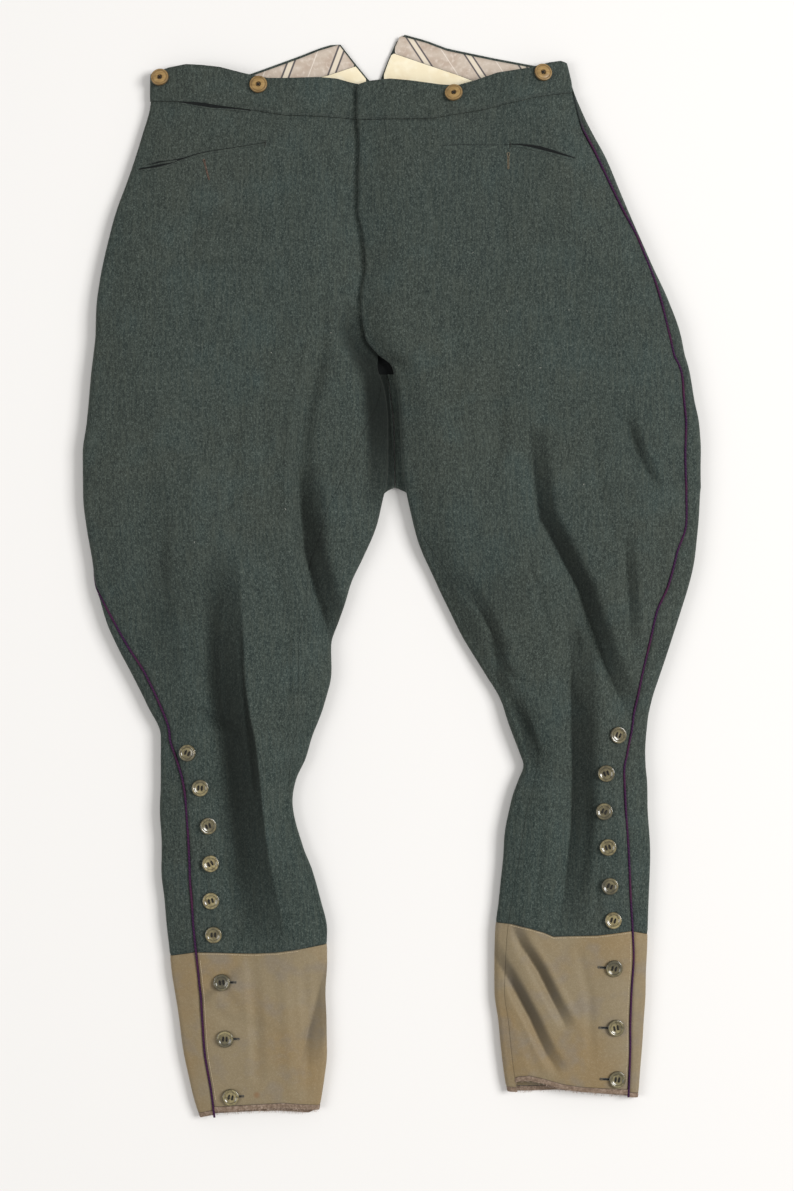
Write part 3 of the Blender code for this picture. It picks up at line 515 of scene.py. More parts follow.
def fold_height(leg, x, y):
    """What the folds and creases add to the cloth's height at x and y."""
    total = np.zeros(np.broadcast(x, y).shape)
    for rise, left, right, nearest, side, place in folds_near(FOLDS + CREASES, leg, x, y):
        share = np.clip(nearest / np.where(side < 0, left, right), 0, 1)
        fading = np.sin(math.pi * np.clip(0.06 + 0.88 * place, 0, 1)) ** 0.5
        total += rise * (1 + np.cos(math.pi * share)) / 2 * fading
    for rise, left, right, _, nearest, side, place in folds_near(SHARP_FOLDS, leg, x, y):
        share = np.clip(nearest / np.where(side < 0, left, right), 0, 1)
        total += rise * (1 - share) ** 1.35 * np.abs(np.sin(math.pi * place)) ** 0.6
    return total


def fold_shade(leg, x, y):
    """How much painted shade darkens the cloth in the sharp folds and broad patches, 0 elsewhere.
    """
    shade = np.zeros(np.broadcast(x, y).shape)
    for rise, left, right, amount, nearest, side, place in folds_near(SHARP_FOLDS, leg, x, y):
        width, inside = (left, side < 0) if rise > 0 else (right, side > 0)
        begin = np.clip(nearest / 1.6, 0, 1)
        end = np.clip((1.0 - nearest / width) / 0.4, 0, 1)
        ends = np.abs(np.sin(math.pi * place)) ** 0.7
        mask = amount * begin * end * end * (3 - 2 * end) * ends
        shade = np.maximum(shade, np.where(inside, mask, 0))
    for patch_leg, amount, px, py, reach_x, reach_y in PAINTED_SHADE_PATCHES:
        if patch_leg == leg:
            spread = np.exp(-(((x - px) / reach_x) ** 2) - ((y - py) / reach_y) ** 2)
            shade = np.maximum(shade, amount * spread)
    return shade


def shoulder(distance, width):
    """0 at an edge, 1 once the cloth has risen over its shoulder."""
    return np.sin(np.clip(distance / width, 0, 1) * math.pi / 2)


def cloth_height(leg, x, y):
    """Height of the upper layer's outer face, away from the rolled edges."""
    outer_roll = height_value(leg, "roll", y)
    inner_roll = height_value(leg, "inner_roll", y)
    crest = height_value(leg, "crest", y)
    inner_top = height_value(leg, "inner_top", y)
    from_outer = SIDE[leg] * (x - section_value(leg, "outer", y)) - outer_roll
    from_inner = SIDE[leg] * (section_value(leg, "inner", y) - x)
    from_inner = from_inner - np.where(height_value(leg, "lap", y) > 0, FLY_FLAT, inner_roll)
    low_outer = 1 - shoulder(from_outer, height_value(leg, "shoulder", y))
    low_inner = 1 - shoulder(from_inner, height_value(leg, "inner_shoulder", y))
    plain = crest - (crest - 2 * outer_roll) * low_outer - (crest - inner_top) * low_inner
    calm = np.clip(from_outer / CALM_EDGE, 0, 1) * np.clip(from_inner / CALM_EDGE, 0, 1)
    return np.maximum(plain + fold_height(leg, x, y) * calm, LOWEST_TOP)


# %% [markdown]
# ## The line round a leg
#
# Every panel of a leg lies on one line round it: under the leg, round its outer edge,
# over the top and, below the crotch, round its inner edge. The seams are places on that
# line, so neighbouring panels always meet.

# %% One line round the leg for each row
def arc(centre, radius, start, end, count=17):
    """Points of an arc in the plane of a section, angles in turns from +x."""
    angle = np.linspace(start, end, count) * 2 * math.pi
    x, z = centre[0] + radius * np.cos(angle), centre[1] + radius * np.sin(angle)
    return np.stack([x, z], axis=1)


def way_along(points):
    """The way covered at each point of a path."""
    return np.concatenate([[0], np.cumsum(np.linalg.norm(np.diff(points, axis=0), axis=1))])


def along_cloth(inset, roll):
    """A seam's distance from an edge, measured along the cloth that rolls round it."""
    if inset < 0:
        return inset
    if inset < roll:
        return roll * math.acos(1 - inset / roll)
    return roll * math.pi / 2 + inset - roll


def leg_line(leg, y):
    """The line round a leg at y, as points (x, z), and where its landmarks lie along it."""
    outer = float(section_value(leg, "outer", y))
    inner = float(section_value(leg, "inner", y)) + SIDE[leg] * float(height_value(leg, "lap", y))
    roll = float(height_value(leg, "roll", y))
    inner_roll = float(height_value(leg, "inner_roll", y))
    width = SIDE[leg] * (inner - outer)
    across = np.linspace(roll, width - inner_roll, TOP_POINTS)
    tops = cloth_height(leg, outer + SIDE[leg] * across, np.full(TOP_POINTS, float(y)))
    closed = y <= CROTCH_Y
    web = closed and y >= FORK_Y
    if not closed:
        start = SIDE[leg] * (float(line_x(CENTRE_BACK[leg], y)) - outer)
    elif web:
        start = SIDE[leg] * (float(line_x(WEB_MIDDLE, y)) - outer) - WEB_TOP / 2 - SEAM_GAP / 2
    else:
        start = width - inner_roll
    parts = [
        np.array([(start, 0.0)]),
        arc((roll, roll), roll, 0.75, 0.5),
        arc((roll, tops[0] - roll), roll, 0.5, 0.25),
        np.stack([across, tops], axis=1)[1:-1],
        arc((width - inner_roll, tops[-1] - inner_roll), inner_roll, 0.25, 0.0),
    ]
    if web:
        corner = (width + WEB_CORNER, WEB_TOP + WEB_CORNER)
        parts.append(arc(corner, WEB_CORNER, 0.5, 0.75, 7))
        parts.append(arc((start, WEB_TOP / 2), WEB_TOP / 2, 0.25, -0.25, 11))
    elif closed:
        parts.append(arc((width - inner_roll, inner_roll), inner_roll, 0.0, -0.25))
    counts = [len(part) for part in parts]
    line = np.concatenate(parts)
    length = way_along(line)
    outer_edge = length[sum(counts[:2])]
    inner_edge = length[sum(counts[:5]) - 1]
    marks = {
        "foot": length[1],
        "outseam": outer_edge + along_cloth(float(section_value(leg, "outseam", y)), roll),
        "inseam": inner_edge - along_cloth(float(section_value(leg, "inseam", y)), inner_roll),
        "end": length[-1],
    }
    line[:, 0] = outer + SIDE[leg] * line[:, 0]
    return line, length, marks


def rows_of(leg):
    """The heights at which the leg's line is drawn, with its forks and ends among them."""
    places = SECTIONS[leg][:, 0]
    stretches = ((places[0], CROTCH_Y), (CROTCH_Y, FORK_Y), (FORK_END, places[-1]))
    return np.concatenate([
        np.linspace(high, low, math.ceil((high - low) / ROW_STEP) + 1) for high, low in stretches
    ]).round(4)


def drawn_leg(leg):
    rows = np.unique(rows_of(leg))[::-1]
    return {"leg": leg, "rows": rows, "lines": [leg_line(leg, y) for y in rows]}


LEGS = {leg: drawn_leg(leg) for leg in ("right", "left")}
print("rows drawn:", {leg: len(drawn["rows"]) for leg, drawn in LEGS.items()})

# %% [markdown]
# ## Columns of a panel
#
# A panel is a grid of points: rows across the leg and columns along it. The columns stand
# closer together where the cloth bends, and a few extra ones beside each seam let the edge
# turn down into it. Their places change slowly from row to row, or the weave would jog.

# %% Columns between the seams
COLUMNS = {"front": 104, "under": 14, "inner": 24}
BOTTOM_COLUMNS = 22
EDGE_STEPS = (0.5, 1.2, 2.2)
TURN_WEIGHT = 0.8
SHARE_REACH = 14


def even_shares(line, length, first, last, columns):
    """Shares of the way from first to last along a line, closer together where it bends."""
    fine = np.linspace(first, last, 6 * columns)
    points = np.stack([np.interp(fine, length, line[:, k]) for k in (0, 1)], axis=1)
    slope = np.unwrap(np.arctan2(*np.diff(points, axis=0).T[::-1]))
    turning = np.abs(np.diff(slope, prepend=slope[0], append=slope[-1]))
    cost = np.full(len(fine), 1 / 6) + TURN_WEIGHT * turning
    cost = np.convolve(np.pad(cost, 6, mode="edge"), np.ones(13) / 13, mode="valid")
    total = np.concatenate([[0], np.cumsum(cost[:-1])])
    return np.interp(np.linspace(0, total[-1], columns + 1), total, np.linspace(0, 1, len(fine)))


def smooth_rows(shares):
    """Averages each row with its neighbours, so that columns run on smoothly."""
    weights = np.hanning(2 * SHARE_REACH + 1)[1:-1]
    weights = weights / weights.sum()
    padded = np.pad(shares, ((SHARE_REACH - 1, SHARE_REACH - 1), (0, 0)), mode="edge")
    return np.stack([np.convolve(column, weights, mode="valid") for column in padded.T], axis=1)


def span_of(marks, panel):
    """Where a panel begins and ends on the line round its leg, and the mark it starts from."""
    if panel == "front":
        start = marks["outseam"] + (PIPING_RADIUS + PIPING_ROOM)
        return start, marks["inseam"] - INSEAM_GAP / 2, marks["outseam"]
    if panel == "under":
        return marks["foot"], marks["outseam"] - PIPING_RADIUS - PIPING_ROOM, marks["foot"]
    return marks["inseam"] + INSEAM_GAP / 2, marks["end"], marks["inseam"]


def columns_of(drawn, panel, highest=1000.0):
    """For each row, the points (x, y, z) of a panel's columns, and their way along the line."""
    edge = np.array(EDGE_STEPS)
    first = edge[-1] if panel != "under" else 0.0
    last = edge[-1] if panel != "inner" else 0.0
    lines = [(y, *line) for y, line in zip(drawn["rows"], drawn["lines"]) if y <= highest]
    spans = [span_of(marks, panel) for *_, marks in lines]
    shares = smooth_rows(np.array([
        even_shares(line, length, start + first, end - last, COLUMNS[panel])
        for (_, line, length, _), (start, end, _) in zip(lines, spans)
    ]))
    grid, ways = [], []
    for (y, line, length, marks), (start, end, mark), share in zip(lines, spans, shares):
        way = start + first + share * (end - last - start - first)
        if first:
            way = np.concatenate([[start], start + edge[:-1], way])
        if last:
            way = np.concatenate([way, end - edge[-2::-1], [end]])
        if panel == "under":
            way = np.concatenate([np.linspace(0, start, BOTTOM_COLUMNS + 1)[:-1], way])
        x, z = (np.interp(way, length, line[:, k]) for k in (0, 1))
        grid.append(np.stack([x, np.full(len(way), y), z], axis=1))
        ways.append(way - mark + SIDE[drawn["leg"]] * np.interp(mark, length, line[:, 0]))
    return np.array(grid), np.array(ways)


# %% [markdown]
# ## Cutting a panel out
#
# A pattern piece ends at lines that cross the leg, such as the waist seam. The rows of the
# grid are bent to follow those lines, as the cloth's own weave would be eased into a seam.

# %% Rows between two lines across the leg
def read_columns(grid, ways, places):
    """The points and ways of every column, read at new places (rows, columns) in y."""
    out = np.empty(places.shape + (4,))
    for j in range(places.shape[1]):
        ys = grid[::-1, j, 1]
        out[:, j, 1] = places[:, j]
        for k, values in ((0, grid[::-1, j, 0]), (2, grid[::-1, j, 2]), (3, ways[::-1, j])):
            out[:, j, k] = np.interp(places[:, j], ys, values)
    return out


FADE = 70.0
SHORT_PIECE = 60.0
EDGE_ROW = 0.6


def between(leg, grid, ways, top_line, bottom_line, top_fade=FADE):
    """The part of a leg's sheet between two lines: points (x, y, z) and the way round."""
    ends = []
    for line in (top_line, bottom_line):
        outermost = float(line[0 if leg == "right" else -1][1])
        found = np.full(grid.shape[1], outermost)
        for _ in range(12):
            found = line_y(line, read_columns(grid, ways, found[None])[0, :, 0])
        ends.append((outermost, found - outermost))
    (high, top_shift), (low, bottom_shift) = ends
    longest = 0.8 * (high - low)
    inside = [y for y in grid[:, 0, 1] if low + 1.5 < y < high - 1.5]
    ys = np.array([high, high - EDGE_ROW, *inside, low + EDGE_ROW, low])[:, None]
    if high - low < SHORT_PIECE:
        up = (ys - low) / (high - low)
        down = 1 - up
    else:
        up = np.clip(1 - (high - ys) / min(top_fade, longest), 0, 1)
        down = np.clip(1 - (ys - low) / min(FADE, longest), 0, 1)
    return read_columns(grid, ways, ys + top_shift * up + bottom_shift * down)


# %% [markdown]
# ## From a grid to cloth
#
# The grid becomes a mesh with a UV map in metres, across and along the cloth, so a weave
# can follow the surface round its edges. Relief in the direction of the surface turns each
# edge down into its seam, and a few slow swells keep the cloth from looking machined. A
# Solidify modifier then gives the wall.

# %% Relief and swells
RNG = np.random.default_rng(1912)
SWELLS = [
    (RNG.uniform(0.03, 0.16), RNG.uniform(0, 2 * math.pi), RNG.uniform(0, 2 * math.pi))
    for _ in range(26)
]


def swell(x, y):
    """Slow uneven waves of the cloth, about 1 at their highest."""
    total = 0.0
    for pitch, heading, phase in SWELLS:
        along = x * math.cos(heading) + y * math.sin(heading)
        total = total + np.sin(pitch * along + phase) * 0.03 / pitch
    return total / 2.2


def normals_of(grid):
    """The grid's outward direction at each point, for a grid whose faces point out."""
    along = np.gradient(grid, axis=0)
    across = np.gradient(grid, axis=1)
    normal = np.cross(along, across)
    return normal / np.maximum(np.linalg.norm(normal, axis=2, keepdims=True), 1e-9)


def edge_distance(grid, axis, end):
    """How far each point lies from one side of the grid, along the cloth."""
    steps = np.linalg.norm(np.diff(grid, axis=axis), axis=2)
    first = np.zeros((1, grid.shape[1])) if axis == 0 else np.zeros((grid.shape[0], 1))
    way = np.concatenate([first, np.cumsum(steps, axis=axis)], axis=axis)
    if end == "last":
        way = (way[-1:] if axis == 0 else way[:, -1:]) - way
    return way


# %% Cloth from grids
WELD = 0.02 * MM


def new_piece(name, mesh):
    """Puts a mesh into the scene as a piece."""
    piece = bpy.data.objects.new(name, mesh)
    bpy.context.scene.collection.objects.link(piece)
    return piece


def select_only(piece):
    bpy.ops.object.select_all(action="DESELECT")
    piece.select_set(True)
    bpy.context.view_layer.objects.active = piece


def finish_shape(piece, angle=50):
    """Applies a piece's modifiers and smooths its faces, all but sharp corners."""
    select_only(piece)
    for modifier in list(piece.modifiers):
        bpy.ops.object.modifier_apply(modifier=modifier.name)
    bpy.ops.object.shade_smooth_by_angle(angle=math.radians(angle))


def cloth_mesh(name, blocks, wall, proud=0.0):
    """A wall of cloth on grids of (x, y, z, way round, seam shade, fold shade), joined."""
    vertices, faces, maps, shades, painted_shades = [], [], [], [], []
    for grid in blocks:
        rows, columns = grid.shape[:2]
        index = np.arange(rows * columns).reshape(rows, columns) + sum(map(len, vertices))
        vertices.append(grid[..., :3].reshape(-1, 3) * MM)
        maps.append(grid[..., [3, 1]].reshape(-1, 2) * MM)
        shades.append(grid[..., 4].reshape(-1))
        painted_shades.append(grid[..., 5].reshape(-1) if grid.shape[2] > 5 else np.zeros(rows * columns))
        corners = (index[:-1, :-1], index[1:, :-1], index[1:, 1:], index[:-1, 1:])
        faces.append(np.stack([corner.reshape(-1) for corner in corners], axis=1))
    faces = np.concatenate(faces)
    mesh = bpy.data.meshes.new(name)
    mesh.from_pydata(np.concatenate(vertices).tolist(), [], faces.tolist())
    spots = np.concatenate(maps)[faces.reshape(-1)].astype(np.float32)
    mesh.uv_layers.new(name="cloth").data.foreach_set("uv", spots.reshape(-1))
    for mark, values in (("seam", shades), ("painted_shade", painted_shades)):
        shade = mesh.attributes.new(mark, "FLOAT", "POINT")
        shade.data.foreach_set("value", np.concatenate(values).astype(np.float32))
    work = bmesh.new()
    work.from_mesh(mesh)
    bmesh.ops.remove_doubles(work, verts=work.verts, dist=WELD)
    work.to_mesh(mesh)
    work.free()
    mesh.update()
    piece = new_piece(name, mesh)
    solidify = piece.modifiers.new("Wall", "SOLIDIFY")
    solidify.thickness = wall * MM
    solidify.offset = -1.0 + 2.0 * proud / wall
    finish_shape(piece)
    for vertex in piece.data.vertices:
        vertex.co.z = max(vertex.co.z, 0.0)
    return piece


# %% [markdown]
# ## The panels
#
# Each leg has a front and a back of wool, canvas below the knee, a waistband and hem
# bindings. Fronts lie on top from seam to seam. Backs go from the outseam round under the
# leg and, below the crotch, up round the inner edge to the inseam.

# %% Finish a panel's grid
DIP_REACH = 1.6
SHADE_REACH = 1.3


def finish_grid(leg, grid, dips, amount):
    """Adds relief to a grid: dips at (first column, last column, top row, bottom row)."""
    facing = normals_of(grid[..., :3]) * SIDE[leg]
    sides = ((1, "first"), (1, "last"), (0, "first"), (0, "last"))
    distances = [edge_distance(grid[..., :3], axis, end) for axis, end in sides]
    off_floor = np.clip((grid[..., 2] - 1.0) / 6.0, 0, 1)
    relief = amount * swell(grid[..., 0], grid[..., 1])
    shade = np.zeros(relief.shape)
    for distance, depth in zip(distances, dips):
        if depth:
            relief = relief - depth * np.exp(-((distance / DIP_REACH) ** 2))
            near = np.exp(-((distance / SHADE_REACH) ** 2))
            shade = np.maximum(shade, depth ** 1.5 * near)
    moved = grid[..., :3] + facing * (relief * off_floor)[..., None]
    moved[..., 2] = np.maximum(moved[..., 2], 0.0)
    # Painted shade from the sharp folds and patches, fading out where the cloth lies low.
    painted_shade = fold_shade(leg, grid[..., 0], grid[..., 1])
    painted_shade = painted_shade * np.clip((grid[..., 2] - 0.5) / 3.0, 0, 1)
    return np.concatenate([moved, grid[..., 3:], shade[..., None], painted_shade[..., None]], axis=2)


# %% Cut and build the panels of one leg
def shifted(line, rise):
    return tuple((x, y + rise) for x, y in line)


def make_panels(leg):
    """The cloth pieces of a leg. A cut is a grid, its two lines, its dips and its swells."""
    drawn = LEGS[leg]
    front = columns_of(drawn, "front")
    under = columns_of(drawn, "under")
    inner = columns_of(drawn, "inner", highest=CROTCH_Y)
    waist = shifted(WAIST_SEAM[leg], -SEAM_GAP)
    crotch = ((-400, CROTCH_Y), (400, CROTCH_Y))
    above = shifted(CANVAS_SEAM[leg], SEAM_GAP / 2)
    below = shifted(CANVAS_SEAM[leg], -SEAM_GAP / 2)
    front_bound = shifted(FRONT_HEM[leg], BINDING_WIDTH)
    back_bound = shifted(BACK_HEM[leg], BINDING_WIDTH)
    front_end = shifted(front_bound, SEAM_GAP)
    back_end = shifted(back_bound, SEAM_GAP)
    tape = (0, 0, 0.4, 0.4)
    plan = {
        "front": (WOOL_WALL, 0.0, (front, waist, above, (0.6, 0.2, 0.5, 0.45), 0.5)),
        "back": (
            WOOL_WALL, 0.0,
            (under, BACK_TOP[leg], above, (0, 0.6, 0, 0.45), 0.5, 130.0),
            (inner, crotch, above, (0.2, 0, 0, 0.45), 0.5),
        ),
        "canvas_front": (CANVAS_WALL, 0.0, (front, below, front_end, (0.6, 0.2, 0.3, 0.3), 0.5)),
        "canvas_back": (
            CANVAS_WALL, 0.0,
            (under, below, back_end, (0, 0.7, 0.3, 0.3), 0.5),
            (inner, below, back_end, (0.2, 0, 0.3, 0.3), 0.5),
        ),
        "waistband": (
            BAND_WALL, BAND_PROUD,
            (front, BAND_TOP[leg], WAIST_SEAM[leg], (0.3, 0.3, 0.4, 0.5), 0.3),
        ),
        "binding_front": (
            BINDING_WALL, BINDING_PROUD, (front, front_bound, FRONT_HEM[leg], tape, 0.2),
        ),
        "binding_back": (
            BINDING_WALL, 0.0,
            (under, back_bound, BACK_HEM[leg], tape, 0.2),
            (inner, back_bound, BACK_HEM[leg], tape, 0.2),
        ),
    }
    panels = {}
    for part, (wall, proud, *cuts) in plan.items():
        grids = []
        for sheet, top, bottom, dips, amount, *fade in cuts:
            grid = finish_grid(leg, between(leg, *sheet, top, bottom, *fade), dips, amount)
            grids.append(grid if leg == "right" else grid[:, ::-1])
        kind = "tape" if part.startswith("binding") else "cloth"
        panels[part] = cloth_mesh(f"{part}_{leg}_{kind}", grids, wall, proud)
    return panels


PANELS = {leg: make_panels(leg) for leg in ("right", "left")}
for leg, panels in PANELS.items():
    for part, piece in panels.items():
        print(piece.name, len(piece.data.polygons), "faces, highest at",
              round(max(vertex.co.z for vertex in piece.data.vertices) / MM, 1), "mm")

# %% [markdown]
# ## Lining of the raised back
#
# The two flaps of the fishtail back show their inside: a striped satin facing and, below
# it, cream cotton that runs on behind the waistband. They are flat strips on the back.

# %% Satin and cotton strips
CREAM_DROP = 26.0
LINING_INSET = 2.6


def strip_grid(xs, upper, lower, rows):
    """A nearly flat strip between two lines across the body, with slow swells."""
    tops = np.array([upper(x) for x in xs])
    ends = np.array([lower(x) for x in xs])
    share = np.linspace(0, 1, rows)[:, None]
    y = tops + share * (ends - tops)
    x = np.broadcast_to(xs, y.shape)
    z = LINING_TOP + 0.25 * swell(x * 2.2, y * 2.2)
    edge = np.minimum(tops - y, y - ends)
    z = z - 0.4 * np.exp(-((edge / 1.2) ** 2))
    return np.stack([x, y, z, x, np.exp(-((edge / 1.5) ** 2))], axis=2)


def make_lining(leg):
    def flap_edge(x):
        return float(line_y(BACK_TOP[leg], x)) - LINING_INSET

    def satin_end(x):
        return float(line_y(SATIN_END[leg], x))

    def cream_top(x):
        return min(satin_end(x) - 0.3, flap_edge(x))

    def cream_bottom(x):
        return min(float(line_y(BAND_TOP[leg], x)) - CREAM_DROP, cream_top(x) - 3.0)

    strips = (
        ("satin", SATIN_SPAN[leg], flap_edge, satin_end, 12),
        ("cotton", CREAM_SPAN[leg], cream_top, cream_bottom, 14),
    )
    lining = {}
    for part, span, upper, lower, rows in strips:
        grid = strip_grid(np.linspace(*span, 60), upper, lower, rows)
        lining[part] = cloth_mesh(f"fishtail_{part}_{leg}_cloth", [grid], LINING_WALL)
    return lining


LINING = {leg: make_lining(leg) for leg in ("right", "left")}

# %% [markdown]
# ## Piping in the outseams
#
# A thin cord of purple cloth is caught in each outseam from the waist to the hem. It is a
# tube along the seam's place on the leg's line, sunk a little between the two panels.

# %% Piping cords
PIPING_SINK = 0.35
PIPING_START = {"right": 468.0, "left": 476.0}


def piping_point(leg, y):
    """The middle of the piping at y: on the outseam, sunk a little into the cloth."""
    line, length, marks = leg_line(leg, y)
    here, ahead = (
        np.array([np.interp(marks["outseam"] + step, length, line[:, k]) for k in (0, 1)])
        for step in (-0.5, 0.5)
    )
    tangent = (ahead - here) / np.linalg.norm(ahead - here)
    inward = np.array([tangent[1], -tangent[0]]) * SIDE[leg]
    x, z = (here + ahead) / 2 + inward * PIPING_SINK
    return x, y, max(z, PIPING_RADIUS)


def tube_faces(rings, sides, base=0):
    """The faces of a closed tube whose points run round it, ring after ring."""
    index = base + np.arange(rings * sides).reshape(rings, sides)
    after = np.roll(index, -1, axis=1)
    faces = np.stack([index[:-1], after[:-1], after[1:], index[1:]], axis=-1)
    return [*faces.reshape(-1, 4).tolist(), index[0][::-1].tolist(), index[-1].tolist()]


def closed_piece(name, vertices, faces):
    """A piece from points in millimetres, its faces turned outwards."""
    mesh = bpy.data.meshes.new(name)
    mesh.from_pydata((np.array(vertices) * MM).tolist(), [], faces)
    work = bmesh.new()
    work.from_mesh(mesh)
    bmesh.ops.recalc_face_normals(work, faces=work.faces)
    work.to_mesh(mesh)
    work.free()
    mesh.update()
    return new_piece(name, mesh)


def tube_mesh(name, points, radius, sides=8, flatten=1.0):
    """A round cord through points, in millimetres, with a UV map round and along it."""
    points = np.array(points, float)
    tangent = np.gradient(points, axis=0)
    tangent /= np.linalg.norm(tangent, axis=1, keepdims=True)
    side = np.cross(tangent, np.array([0.0, 0.0, 1.0]))
    side /= np.maximum(np.linalg.norm(side, axis=1, keepdims=True), 1e-9)
    above = np.cross(side, tangent)
    radii = np.broadcast_to(np.asarray(radius, float), (len(points),))
    angles = np.linspace(0, 2 * math.pi, sides, endpoint=False)[None, :, None]
    round_it = np.cos(angles) * side[:, None] + flatten * np.sin(angles) * above[:, None]
    rings = points[:, None] + radii[:, None, None] * round_it
    piece = closed_piece(name, rings.reshape(-1, 3), tube_faces(len(points), sides))
    loops = np.zeros(len(piece.data.loops), dtype=np.int32)
    piece.data.loops.foreach_get("vertex_index", loops)
    around = (np.arange(sides) / sides * 2 * math.pi * radii.mean() * MM)[loops % sides]
    spots = np.stack([around, way_along(points)[loops // sides] * MM], axis=1)
    uv = piece.data.uv_layers.new(name="cloth")
    uv.data.foreach_set("uv", spots.astype(np.float32).reshape(-1))
    finish_shape(piece, 60)
    return piece


def make_piping(leg):
    end = BACK_HEM[leg][0 if leg == "right" else -1][1]
    points = [piping_point(leg, y) for y in np.linspace(PIPING_START[leg], end + 1.0, 330)]
    return tube_mesh(f"piping_{leg}_cord", points, PIPING_RADIUS, 10)


PIPING = {leg: make_piping(leg) for leg in ("right", "left")}
print("piping:", {leg: len(piece.data.polygons) for leg, piece in PIPING.items()})


# %% [markdown]
# ## Effects that several cloths share
#
# Each effect is a small node group with named sockets, so one recipe serves every cloth:
# flecks for yarns of several colours, ribs for a twill, soft tints for wear and handling,
# and a shade where cloth turns into a seam. Groups give only colours and values. The
# shader itself stays in each material.

# %% Helpers for node trees
def feed(tree, socket, value):
    """Gives a socket a plain value, or links it to another node's output."""
    if isinstance(value, bpy.types.NodeSocket):
        tree.links.new(value, socket)
    else:
        socket.default_value = value


def add_node(tree, kind, inputs=None, **settings):
    """A node with its settings, and its inputs given as values or as other nodes' sockets."""
    node = tree.nodes.new(kind)
    for name, value in settings.items():
        setattr(node, name, value)
    for name, value in (inputs or {}).items():
        feed(tree, node.inputs[name], value)
    return node


def maths(tree, operation, *values, clamp=False):
    settings = {"operation": operation, "use_clamp": clamp}
    return add_node(tree, "ShaderNodeMath", dict(enumerate(values)), **settings).outputs[0]


def blend(tree, amount, below, above):
    """Mixes two colours by an amount from 0 to 1."""
    node = add_node(tree, "ShaderNodeMix", {"Factor": amount}, data_type="RGBA")
    for name, value in (("A", below), ("B", above)):
        feed(tree, next(s for s in node.inputs if s.name == name and s.type == "RGBA"), value)
    return next(s for s in node.outputs if s.type == "RGBA")


def remap(tree, value, low, high, start=0.0, end=1.0):
    inputs = {"Value": value, "From Min": low, "From Max": high, "To Min": start, "To Max": end}
    return add_node(tree, "ShaderNodeMapRange", inputs, clamp=True).outputs["Result"]


def new_group(name, inputs, outputs):
    """An empty node group with named sockets; returns it with its input and output nodes."""
    group = bpy.data.node_groups.new(name, "ShaderNodeTree")
    for socket, kind, default in inputs:
        made = group.interface.new_socket(socket, in_out="INPUT", socket_type="NodeSocket" + kind)
        if default is not None:
            made.default_value = default
    for socket, kind in outputs:
        group.interface.new_socket(socket, in_out="OUTPUT", socket_type="NodeSocket" + kind)
    given, made = group.nodes.new("NodeGroupInput"), group.nodes.new("NodeGroupOutput")
    return group, given.outputs, made.inputs


def place_group(tree, group, inputs):
    return add_node(tree, "ShaderNodeGroup", inputs, node_tree=group).outputs


def times(tree, first, second, clamp=False):
    return maths(tree, "MULTIPLY", first, second, clamp=clamp)


def vector_maths(tree, operation, *vectors):
    node = add_node(tree, "ShaderNodeVectorMath", dict(enumerate(vectors)), operation=operation)
    return node.outputs["Value" if operation == "LENGTH" else "Vector"]


def stretched(tree, place, scale):
    return add_node(tree, "ShaderNodeMapping", {"Vector": place, "Scale": scale}).outputs[0]


def split(tree, vector):
    return add_node(tree, "ShaderNodeSeparateXYZ", {"Vector": vector}).outputs


def noise(tree, place, scale, detail, **more):
    """The value of a noise texture, which more inputs by name can change."""
    inputs = {"Vector": place, "Scale": scale, "Detail": detail, **more}
    return add_node(tree, "ShaderNodeTexNoise", inputs).outputs[0]


def marked(tree, name):
    """How strongly one of the mesh's own attributes marks a point."""
    return add_node(tree, "ShaderNodeAttribute", attribute_name=name).outputs["Fac"]


def cloth_place(tree):
    return add_node(tree, "ShaderNodeUVMap", uv_map="cloth").outputs[0]


def solid_place(tree):
    return add_node(tree, "ShaderNodeTexCoord").outputs["Object"]


def bump(tree, shader, height, strength, distance):
    inputs = {"Height": height, "Strength": strength, "Distance": distance}
    node = add_node(tree, "ShaderNodeBump", inputs)
    tree.links.new(node.outputs[0], shader.inputs["Normal"])


def srgb(red, green, blue):
    """A colour given as it looks on a screen, as Blender's linear values."""
    return tuple(((c / 255 + 0.055) / 1.055) ** 2.4 for c in (red, green, blue)) + (1.0,)


# %% Group: flecks of yarn
def make_fleck_group():
    group, given, made = new_group(
        "yarn_flecks",
        [("Vector", "Vector", None), ("Base", "Color", (0.1, 0.1, 0.1, 1)),
         ("Light", "Color", (0.3, 0.3, 0.3, 1)), ("Dark", "Color", (0.02, 0.02, 0.02, 1)),
         ("Per metre", "Float", 900.0), ("Amount", "Float", 1.0)],
        [("Color", "Color"), ("Height", "Float")],
    )
    place, pitch, amount = given["Vector"], given["Per metre"], given["Amount"]
    fine = noise(group, place, pitch, 2.0, Roughness=0.7)
    other = vector_maths(group, "ADD", place, (3.1, 7.7, 1.3))
    clumps = noise(group, other, times(group, pitch, 0.45), 2.0, Roughness=0.65)
    mixed = maths(group, "ADD", times(group, fine, 0.6), times(group, clumps, 0.4))
    light = times(group, remap(group, mixed, 0.50, 0.68), amount, clamp=True)
    dark = times(group, remap(group, mixed, 0.50, 0.33), amount, clamp=True)
    colour = blend(group, light, given["Base"], given["Light"])
    group.links.new(blend(group, dark, colour, given["Dark"]), made["Color"])
    group.links.new(mixed, made["Height"])
    return group


YARN_FLECKS = make_fleck_group()


